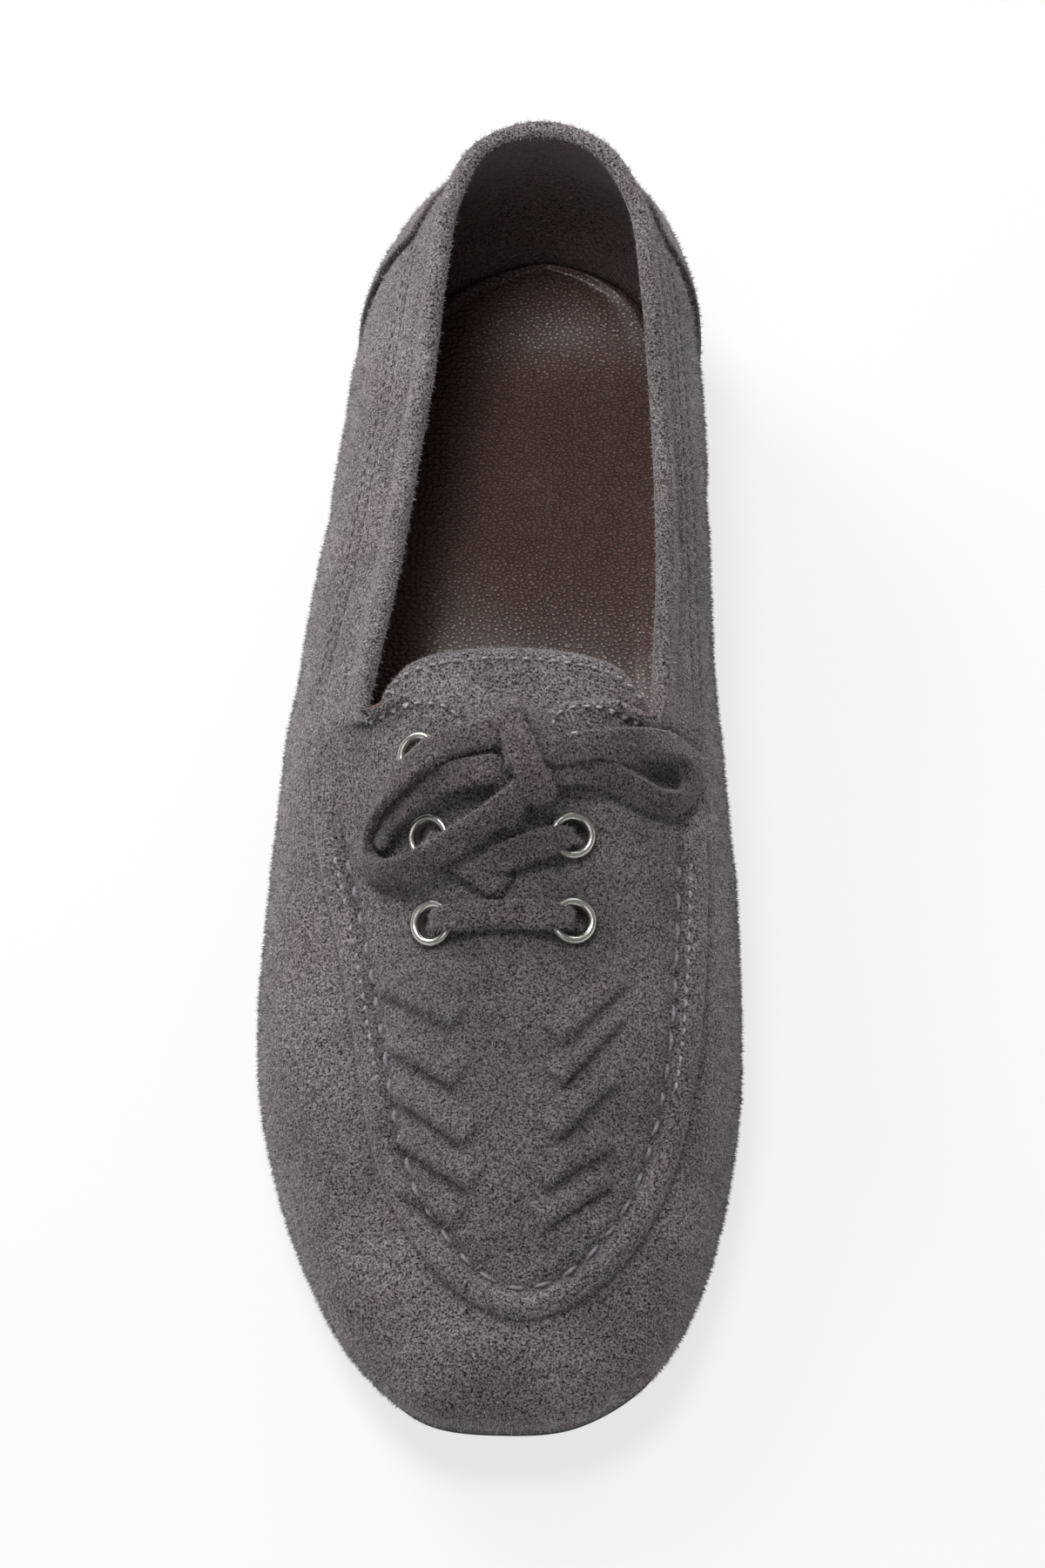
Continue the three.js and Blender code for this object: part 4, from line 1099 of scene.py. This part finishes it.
def makeUpper():
    columns = upperColumns()
    wallRows = [0, 0.15, 0.3, 0.45, 0.6, 0.72, 0.84, 0.93] + [1 + 0.055 * k for k in range(16)] + [
        1.88, 1.91, 1.94, 1.96, 1.975, 1.99]
    seamRows = [0, 0.3, 0.6, 1, 1.5, 2.1, 2.7, 3.1, 3.4, 3.7, 4.1, 4.5, 4.9, 5.3, 5.7, 6.1, 6.7, 7.4, 8.2]
    vampSteps, edgeSteps, liningSteps = 58, 8, 20
    outer = [(u, v) for v in wallRows for u in columns]
    outer += [(u, 2 + past / columnAt(u)["reach"]) for past in seamRows for u in columns]
    for step in range(1, vampSteps + 1):
        for u in columns:
            reach = columnAt(u)["reach"]
            outer.append((u, mix(2 + seamRows[-1] / reach, 3 - edgeRound(u) / reach, step / vampSteps)))
    vertices, shades = [], []
    for u, v in outer:
        base = skin(u, v)
        height, shade = reliefAt(u, v, base)
        vertices.append(base + skinNormal(u, v) * height)
        shades.append(shade)
    count = len(columns)
    outerRows = len(outer) // count
    vertices += [edgePoint(u, math.pi * step / edgeSteps) for step in range(1, edgeSteps) for u in columns]
    vertices += [raised(u, 3 - edgeRound(u) / columnAt(u)["reach"], -last["wall"]) for u in columns]
    vertices += [raised(u, 3 * (1 - step / liningSteps), -last["wall"])
                 for step in range(1, liningSteps + 1) for u in columns]
    for rise in (last["wall"], 0):
        for u in columns:
            c = columnAt(u)
            point = c["foot"] + c["inward"] * upper["tuckedUnder"]
            point.z = seat(point.y) + rise
            vertices.append(point)
    shades += [0.0] * (len(vertices) - len(shades))

    def folded(r, k):
        a, b = columns[k], columns[(k + 1) % count]
        outerSpine = a <= slitFoot and b <= slitFoot
        innerSpine = a >= slitFootIn and (b >= slitFootIn or b == 0)
        return outerRows - 1 <= r < outerRows + edgeSteps - 1 and (outerSpine or innerSpine)

    faces = gridFaces(len(vertices) // count, count, around=True, along=True, skip=folded)
    liningFrom = (outerRows + edgeSteps - 2) * count
    inside = [1 if min(face) >= liningFrom else 0 for face in faces]
    piece = makePiece("upper_suede", vertices, faces, [suedeMaterial, liningMaterial], "upper",
                      shades, inside)
    punchEyelets(piece)
    return piece


def punchEyelets(piece):
    work = bmesh.new()
    for place, normal in eyelets.values():
        turn = Vector((0, 0, 1)).rotation_difference(normal).to_matrix().to_4x4()
        radius = upper["eyeletHole"] * mm
        bmesh.ops.create_cone(work, cap_ends=True, segments=32, radius1=radius, radius2=radius,
                              depth=10 * mm, matrix=Matrix.Translation(toFrame(place)) @ turn)
    cutterMesh = bpy.data.meshes.new("punch")
    work.to_mesh(cutterMesh)
    work.free()
    cutter = addObject("punch", cutterMesh)
    cut = piece.modifiers.new("punch", "BOOLEAN")
    cut.operation = "DIFFERENCE"
    cut.solver = "EXACT"
    cut.object = cutter
    punched = bpy.data.meshes.new_from_object(piece.evaluated_get(bpy.context.evaluated_depsgraph_get()))
    piece.modifiers.clear()
    piece.data = punched
    bpy.data.objects.remove(cutter)


upperPiece = makeUpper()
print("upper made", len(upperPiece.data.polygons))


footEdge = 0.006  # metres: no loose nap where the foot of the wall meets the sole
napSplit = -0.012  # metres: the toe half of the nap is one piece and the heel half another


def wallNap(middles, normals):
    facing = np.clip(0.55 + 0.9 * np.linalg.norm(normals[:, :2], axis=1), 0, 1.3)  # the top lies smoother
    return (middles[:, 2] > footEdge) * facing


makeNap("upper_nap_toe", [upperPiece], 48000, suedeFibres, 3,
        lambda middles, normals: wallNap(middles, normals) * (middles[:, 1] < napSplit))
makeNap("upper_nap_heel", [upperPiece], 48000, suedeFibres, 5,
        lambda middles, normals: wallNap(middles, normals) * (middles[:, 1] >= napSplit))
print("nap made")


# A slab has a grid of points above and the same grid below, joined round its rim
def slabFaces(rows, columns):
    faces = gridFaces(rows, columns)
    size = rows * columns
    faces += [tuple(k + size for k in reversed(face)) for face in faces]
    rim = list(range(columns)) + [j * columns + columns - 1 for j in range(1, rows)]
    rim += [(rows - 1) * columns + i for i in range(columns - 2, -1, -1)]
    rim += [j * columns for j in range(rows - 2, 0, -1)]
    return faces + [(b, a, a + size, b + size) for a, b in zip(rim, rim[1:] + rim[:1])]


# Heel counter: an overlay below the collar band, its cut edge left raw and painted a little darker, its
# underside painted in shade
counter = {
    "thickness": 1.2, "width": 150, "height": 48, "edge": 0.9, "darkEdge": 1.1,  # mm
    "low": 0.5, "high": 1.95,  # places up the skin
}
counterEnds = (17, 18.1)  # sections where its front edge stands, at its foot and at its top


def counterPlace(a, b):
    start = mix(*counterEnds, b ** 1.6)
    return mix(start, ringSize - start, a), mix(counter["low"], counter["high"], b)


def makeCounter():
    across, along = 150, 44
    top, under, shades = [], [], []
    for j in range(along + 1):
        for i in range(across + 1):
            a, b = i / across, j / along
            u, v = counterPlace(a, b)
            near = min(min(a, 1 - a) * counter["width"], min(b, 1 - b) * counter["height"])
            rim = 1 - smooth(near, 0, counter["edge"])
            lift = last["clearance"] + counter["thickness"] * math.sqrt(max(0, 1 - 0.6 * rim * rim))
            point = skin(u, v)
            lift += 0.12 * noise.noise(point / 9)
            top.append(point + skinNormal(u, v) * lift)
            under.append(raised(u, v, last["clearance"]))
            shades.append(0.7 * (1 - smooth(near, 0, counter["darkEdge"])))
    # painted shade underneath, where the counter lies on the wall
    shades += [0.8] * len(under)
    return makePiece("heel_counter_suede", top + under, slabFaces(along + 1, across + 1), [suedeMaterial],
                     "heel_counter", shades)


makeNap("heel_counter_nap", [makeCounter()], 8000, suedeFibres, 7)
print("heel counter made")


# Tongue: the solid's own flap, with soft edges, painted shade along its rim and underneath
tongue = {
    "low": 0.31, "top": 0.542, "middle": 0.022, "corner": 9, "slope": 0.27,
    "halfWidth": 27.4, "curve": 0.0132, "thickness": 2.6, "clearance": 0.7,  # mm
}
tabEnd = linePoint("top", 9)
crestLine = spline([linePoint("top", i) for i in range(4, 10)], False)
crestPoints = [crestLine(k / 200) for k in range(201)]


def tongueCrest(y):
    if y > tabEnd.y:
        return tabEnd.z + tongue["slope"] * (y - tabEnd.y)
    return float(np.interp(y, [p.y for p in crestPoints], [p.z for p in crestPoints]))


def tonguePoint(a, b):
    side = 2 * a - 1
    top = tongue["top"] * last["length"] - tongue["corner"] * abs(side) ** 8
    y = mix(tongue["low"] * last["length"], top, b)
    halfWidth = tongue["halfWidth"] * mix(0.78, 1, smooth(b, 0, 0.7))
    x = tongue["middle"] * last["ballWidth"] + side * halfWidth
    drop = tongue["curve"] * (side * halfWidth) ** 2
    z = tongueCrest(y) - last["wall"] - 2 * tongue["clearance"] - drop
    point, normal = vampAt(x, y)
    if math.hypot(point.x - x, point.y - y) < 1:
        z = min(z, point.z - (last["wall"] + tongue["clearance"]) / normal.z)
    lean = Vector((-2 * tongue["curve"] * halfWidth * side, 0.3, -1))
    return Vector((x, y, z)), lean


def makeTongue():
    across, along = 60, 56
    top, under, shades = [], [], []
    for j in range(along + 1):
        b = 1 - (1 - j / along) ** 1.25
        for i in range(across + 1):
            point, lean = tonguePoint(i / across, b)
            near = min(min(i, across - i) / across * 48, (1 - b) * 60)
            rim = 1 - smooth(near, 0, 1.3)
            soft = 0.12 * noise.noise(point / 8)
            top.append(point + lean * (0.9 * rim * rim - soft * (1 - rim)))
            under.append(point + lean * tongue["thickness"])
            # painted shade along the rounded rim and on the underside
            shades.append(0.3 * rim)
    shades += [0.3] * len(under)
    # the tongue's suede is painted lighter than the upper's, as painted light
    return makePiece("tongue_suede", top + under, slabFaces(along + 1, across + 1), [tongueLitMaterial],
                     "tongue", shades)


makeNap("tongue_nap", [makeTongue()], 7000, suedeFibres, 9,
        lambda middles, normals: (middles[:, 1] > napSplit) * (normals[:, 2] > -0.3), reach=0.8)
print("tongue made")


# Insole: its sock curls up a little at the rim and is pressed under heel and ball, with painted shade along
# its rim and underneath
insole = {"thickness": 2.4, "clearance": 0.4, "rimCurl": 0.5, "rimEdge": 1.2, "heelCup": 2.8}  # mm
heelCupFrom, heelCupTo = 222, 262  # mm from the toe tip
footDents = [  # heel and ball: middle in mm across and from the toe tip, half width and half length, depth
    ((3, 232), (15, 26), 0.7),
    ((8, 85), (24, 26), 0.45),
]


def liningAt(u, z):
    low, high = 0.0, 1.6
    for _ in range(16):
        middle = 0.5 * (low + high)
        if raised(u, middle, -last["wall"]).z < z:
            low = middle
        else:
            high = middle
    return raised(u, low, -last["wall"])


def insoleEdge(u):
    c = columnAt(u)
    rise = last["wall"] + last["clearance"]
    point = liningAt(u, c["foot"].z + rise - last["clearance"])
    return point + c["inward"] * insole["clearance"]


def makeInsole():
    steps, across = 150, 40
    top, under, shades = [], [], []
    for j in range(steps + 1):
        u = heelSection * (0.5 - 0.5 * math.cos(math.pi * j / steps))
        left, right = insoleEdge(u), insoleEdge(ringSize - u)
        for i in range(across + 1):
            s = i / across
            point = left.lerp(right, s)
            floor = seat(point.y) + last["wall"] + last["clearance"]
            near = min(s, 1 - s) * (right - left).length
            rim = 1 - smooth(near, 0, insole["rimEdge"])
            curl = insole["rimCurl"] * (1 - smooth(near, 0.5, 6)) - 0.7 * rim
            curl += insole["heelCup"] * smooth(point.y, heelCupFrom, heelCupTo) ** 1.4
            rise = floor + insole["thickness"] + curl
            for (x, y), (wide, long), depth in footDents:
                rise -= depth * math.exp(-((point.y - y) / long) ** 2 - ((point.x - x) / wide) ** 2)
            top.append(Vector((point.x, point.y, rise + 0.1 * noise.noise(point / 14))))
            under.append(Vector((point.x, point.y, floor)))
            # painted shade along the rim, where the sock meets the lining, and underneath
            shades.append(0.6 * (1 - smooth(near, 0, 2.2)))
    shades += [0.6] * len(under)
    return makePiece("insole_leather", top + under, slabFaces(steps + 1, across + 1), [leatherMaterial],
                     "insole", shades)


makeInsole()
print("insole made")


# Sole and heel: thin rubber, a fine groove round its side
sole = {"bevel": 0.9, "groove": 0.22, "heelGroove": 0.18, "heelBreast": 0.742, "breastHollow": 0.016}
soleRings = [  # mm in from the outline, mm up
    (sole["bevel"], 0), (0.5, 0.12), (0.18, 0.42), (0, 0.9),
    (0, 1.5), (sole["groove"], 1.66), (sole["groove"], 1.86), (0, 2.02),
    (0, 3.05), (0.12, 3.32), (0.35, last["soleThickness"]),
]
heelRings = [
    (0.35, 0), (0.1, 0.12), (0, 0.4),
    (0, 2.2), (sole["heelGroove"], 2.35), (sole["heelGroove"], 2.6), (0, 2.75),
    (0, last["heelHeight"]),
]


def makeSole():
    perSection = 12
    rings = []
    for inset, rise in soleRings:
        ring = soleOutline(inset, perSection)
        for point in ring:
            point.z = underside(point.y) + rise
        rings.append(ring)
    count = ringSize * perSection
    vertices = [p for ring in rings for p in ring]
    faces = gridFaces(len(rings), count, around=True)
    for ring in (0, len(rings) - 1):
        for k in range(count // 2):
            quad = [ring * count + i % count for i in (k, k + 1, -k - 1, -k)]
            faces.append(tuple(dict.fromkeys(quad)))
    return makePiece("outsole_rubber", vertices, faces, [rubberMaterial], "outsole")


def makeHeel():
    breast = sole["heelBreast"] * last["length"]
    outline = [p for p in soleOutline(sole["bevel"], 8) if p.y > breast + 1]
    outer, inner = outline[0], outline[-1]
    for k in range(17):
        share = k / 16
        y = breast + sole["breastHollow"] * last["length"] * math.sin(math.pi * share)
        outline.append(Vector((mix(inner.x, outer.x, share), y, 0)))
    middle = sum(outline, Vector()) / len(outline)
    vertices = []
    for inset, rise in heelRings:
        for p in outline:
            way = (middle - p).normalized()
            vertices.append(Vector((p.x + way.x * inset, p.y + way.y * inset, rise)))
    count = len(outline)
    faces = gridFaces(len(heelRings), count, around=True)
    faces += [tuple(range(count)), tuple(range(len(vertices) - count, len(vertices)))]
    return makePiece("heel_rubber", vertices, faces, [rubberMaterial], "heel")


makeSole()
makeHeel()
print("sole made")


# Eyelets: a rolled ring with its barrel through the suede
eyeletProfile = [(2.9, -1.9), (2.9, 0.2), (2.96, 0.7), (3.12, 1.06), (3.42, 1.36), (3.78, 1.5), (4.12, 1.42),
                 (4.4, 1.18), (4.56, 0.82), (4.5, 0.48), (4.3, 0.4), (3.6, 0.38), (3.35, 0.36), (3.35, -1.9)]


def makeEyelet(pairName, side):
    place, normal = eyelets[(pairName, side)]
    turn = Vector((0, 0, 1)).rotation_difference(normal).to_matrix()
    count = 56
    vertices, shades = [], []
    for radius, height in eyeletProfile:
        for k in range(count):
            angle = 2 * math.pi * k / count
            way = Vector((radius * math.cos(angle), radius * math.sin(angle), height))
            vertices.append(place + turn @ way)
            # painted shade down the barrel and under the rim
            shades.append(0.7 if height < 0.45 else 0.0)
    faces = gridFaces(len(eyeletProfile), count, around=True, along=True)
    return makePiece(f"eyelet_{pairName}_{side}_plate", vertices, faces, [plateMaterial],
                     f"eyelet_{pairName}_{side}", shades)


for pairName, side in eyelets:
    makeEyelet(pairName, side)
print("eyelets made")


# Lace: flat strips through the eyelets
diveRows = [  # share of the way, mm above the skin, shares of the width and of the thickness
    (0, -1.3, 0.5, 0.7),
    (0.02, 0.7, 0.55, 0.8),
    (0.07, 2.7, 0.75, 1),
    (0.18, 3, 1, 1),
    (0.32, 2, 1, 1),
]
crossingEnds = {"outer": (0.02, 0.364, 1.5), "inner": (-0.012, 0.381, 2.5)}


def overVamp(start, end, rows):
    route = []
    for along, height, width, thickness in rows:
        point, normal = vampAt(mix(start.x, end.x, along), mix(start.y, end.y, along))
        route.append((point + normal * height, normal, width, thickness))
    return route


def makeBar(pairName, arch):
    start, end = eyelets[(pairName, "outer")][0], eyelets[(pairName, "inner")][0]
    back = [(1 - row[0],) + row[1:] for row in reversed(diveRows)]
    route = overVamp(start, end, diveRows + [(0.5, arch, 1, 1)] + back)
    vertices, faces, _ = roundedStrip(route, 90, bow["width"], bow["thickness"], len(pairName))
    name = f"lace_bar_{pairName}"
    return makePiece(name + "_suede", vertices, faces, [laceMaterial], name)


def makeCrossing():
    vertices, faces = [], []
    for side, (x, y, height) in crossingEnds.items():
        end = Vector((x * last["ballWidth"], y * last["length"], 0))
        rows = [(1.6 * row[0],) + row[1:] for row in diveRows] + [(1, height, 1, 1)]
        route = overVamp(eyelets[("middle", side)][0], end, rows)
        strand, strandFaces, _ = roundedStrip(route, 60, bow["width"], bow["thickness"], len(side))
        faces += [tuple(k + len(vertices) for k in face) for face in strandFaces]
        vertices += strand
    return makePiece("lace_crossing_suede", vertices, faces, [laceMaterial], "lace_crossing")


makeNap("lace_nap", [makeBar("bottom", 1.8), makeBar("top", 1.6), makeCrossing()], 6000, laceFibres,
        13, reach=0.85)
print("lace made")


# Stitches: each a short bead that dips into the suede at both ends
def stitchBead(vertices, faces, a, b, normal, width, height):
    along = b - a
    length = along.length
    along.normalize()
    across = normal.cross(along).normalized()
    base = len(vertices)
    rings, corners = 7, 8
    for r in range(rings):
        s = r / (rings - 1)
        bulge = math.sin(math.pi * mix(0.08, 0.92, s)) ** 0.6
        centre = a + along * (length * s) + normal * (height * (1.3 * math.sin(math.pi * s) - 0.75))
        for k in range(corners):
            angle = 2 * math.pi * k / corners
            vertices.append(centre + across * (width * bulge * math.cos(angle))
                            + normal * (height * bulge * math.sin(angle)))
    faces += [tuple(base + k for k in face) for face in gridFaces(rings, corners, around=True)]
    faces.append(tuple(base + k for k in range(corners)))
    faces.append(tuple(base + (rings - 1) * corners + k for k in range(corners)))


def makeStitches(name, lines, pitch, length, width, height, material):
    vertices, faces = [], []
    draw = random.Random(name)
    for line in lines:
        steps = [0.0]
        for (p, _), (q, _) in zip(line, line[1:]):
            steps.append(steps[-1] + (q - p).length)
        count = int(steps[-1] / pitch)
        for k in range(count):
            middle = (k + 0.5) * steps[-1] / count + draw.uniform(-0.06, 0.06) * pitch
            half = 0.5 * length * draw.uniform(0.9, 1.08)
            ends = []
            for at in (middle - half, middle + half):
                i = min(max(int(np.searchsorted(steps, at)), 1), len(steps) - 1)
                share = (at - steps[i - 1]) / (steps[i] - steps[i - 1])
                ends.append(line[i - 1][0].lerp(line[i][0], share))
                normal = line[i][1]
            lean = Vector((draw.uniform(-1, 1), draw.uniform(-1, 1), 0)) * 0.06 * length
            stitchBead(vertices, faces, ends[0] - lean, ends[1] + lean, normal, width, height)
    return makePiece(name, vertices, faces, [material], None)


def skinLine(start, end, heightOf, count=160):
    line = []
    for k in range(count + 1):
        u = mix(start, end, k / count)
        v = heightOf(u)
        line.append((outerPoint(u, v), skinNormal(u, v)))
    return line


def pastSeam(distance):
    return lambda u: 2 + distance / columnAt(u)["reach"]


def beforeEdge(distance):
    return lambda u: 3 - distance / columnAt(u)["reach"]


def tongueEdge():
    line = []
    for k in range(81):
        a = mix(0.04, 0.96, k / 80)
        here, lean = tonguePoint(a, 1 - stitchLines["tongue"] / 60)
        line.append((here, -lean.normalized()))
    return line


stitching = {  # pitch, length, half width and half height in mm, and the thread
    "hand": (5.5, 4.1, 0.45, 0.6, handThread),
    "machine": (2.7, 1.7, 0.27, 0.42, machineThread),
    "sunk": (2.7, 1.7, 0.22, 0.24, darkThread),
    "tab": (2.7, 1.7, 0.3, 0.6, machineThread),
    "tongue": (2.7, 1.7, 0.3, 0.65, machineThread),
}
apronLine = skinLine(-7.9, 7.9, pastSeam(stitchLines["apron"]), 400)
lipLines = [skinLine(start, end, pastSeam(stitchLines["lip"])) for start, end in ((4.6, 7.9), (35.4, 32.1))]
bandLines = [skinLine(13, 27, pastSeam(stitchLines["band"]), 400),
             skinLine(12.6, 27.4, pastSeam(stitchLines["fold"]), 400)]
tabLines = [skinLine(start, end, beforeEdge(stitchLines["tab"]))
            for start, end in ((8.6, 11.8), (31.4, 28.2))]
makeStitches("apron_hand_stitches", [apronLine], *stitching["hand"])
makeStitches("lip_machine_stitches", lipLines, *stitching["machine"])
makeStitches("band_stitches", bandLines, *stitching["sunk"])
makeStitches("tab_stitches", tabLines, *stitching["tab"])
makeStitches("tongue_stitches", [tongueEdge()], *stitching["tongue"])
print("stitches made")


# Slits of the herringbone: a dark sliver in each step, painted shadow in the gap
def makeSlitShadows():
    vertices, faces = [], []
    for (x0, y0), (x1, y1), gape in slits:
        steps = 18
        base = len(vertices)
        for k in range(steps + 1):
            share = k / steps
            u, v = vampPlace(mix(x0, x1, share), mix(y0, y1, share) - 0.5)
            normal = skinNormal(u, min(v, 2.98))
            point = outerPoint(u, v)
            along = Vector((x1 - x0, y1 - y0, 0)).normalized()
            across = normal.cross(along).normalized()
            width = 0.5 * gape * woven["slitWidth"] * math.sin(math.pi * mix(0.03, 0.97, share))
            for side, rise in ((-1, 0.02), (0, 0.16), (1, 0.02), (0, -0.3)):
                vertices.append(point + across * (side * width) + normal * rise)
        faces += [tuple(base + k for k in face) for face in gridFaces(steps + 1, 4, around=True)]
        faces += [tuple(base + i for i in range(4)), tuple(base + 4 * steps + i for i in range(4))]
    return makePiece("herringbone_slit_shadows", vertices, faces, [slitShadowMaterial], None)


makeSlitShadows()
print("slits made")


# Studio: a backlit white acrylic floor, which keeps shadows pale, a soft sky and four large lamps
studio = {
    "floor": "848484",
    "floorGlow": 0.74,
    "sky": "ffffff",
    "skyStrength": 0.18,
    "reach": 8,  # metres of floor each way
    "lamps": [  # place in metres, size, watts
        ((-0.12, 0.16, 0.97), 0.28, 4.4),
        ((-0.5, 0.55, 0.5), 0.35, 4.6),
        ((0.3, 0.8, 0.5), 0.4, 1.5),
        ((-0.2, -0.65, 0.9), 0.5, 1.2),
    ],
}


def makeStudio():
    mesh = bpy.data.meshes.new("floor")
    reach = studio["reach"]
    mesh.from_pydata([(-reach, -reach, 0), (reach, -reach, 0), (reach, reach, 0), (-reach, reach, 0)], [],
                     [(0, 1, 2, 3)])
    mesh.materials.append(plainMaterial("floor_acrylic", {
        "Base Color": linear(studio["floor"]), "Roughness": 0.9, "Specular IOR Level": 0.1,
        "Emission Color": linear(studio["sky"]), "Emission Strength": studio["floorGlow"]}))
    addObject("floor", mesh)
    world = bpy.data.worlds.new("sky")
    bpy.context.scene.world = world
    world.use_nodes = True
    background = world.node_tree.nodes["Background"]
    background.inputs["Color"].default_value = linear(studio["sky"])
    background.inputs["Strength"].default_value = studio["skyStrength"]
    for place, size, watts in studio["lamps"]:
        data = bpy.data.lights.new("lamp", "AREA")
        data.size = size
        data.energy = watts
        lamp = addObject("lamp", data)
        lamp.location = place
        lamp.rotation_euler = (-Vector(place)).to_track_quat("-Z", "Y").to_euler()


makeStudio()
bpy.context.scene.view_settings.view_transform = "Standard"

print("done")
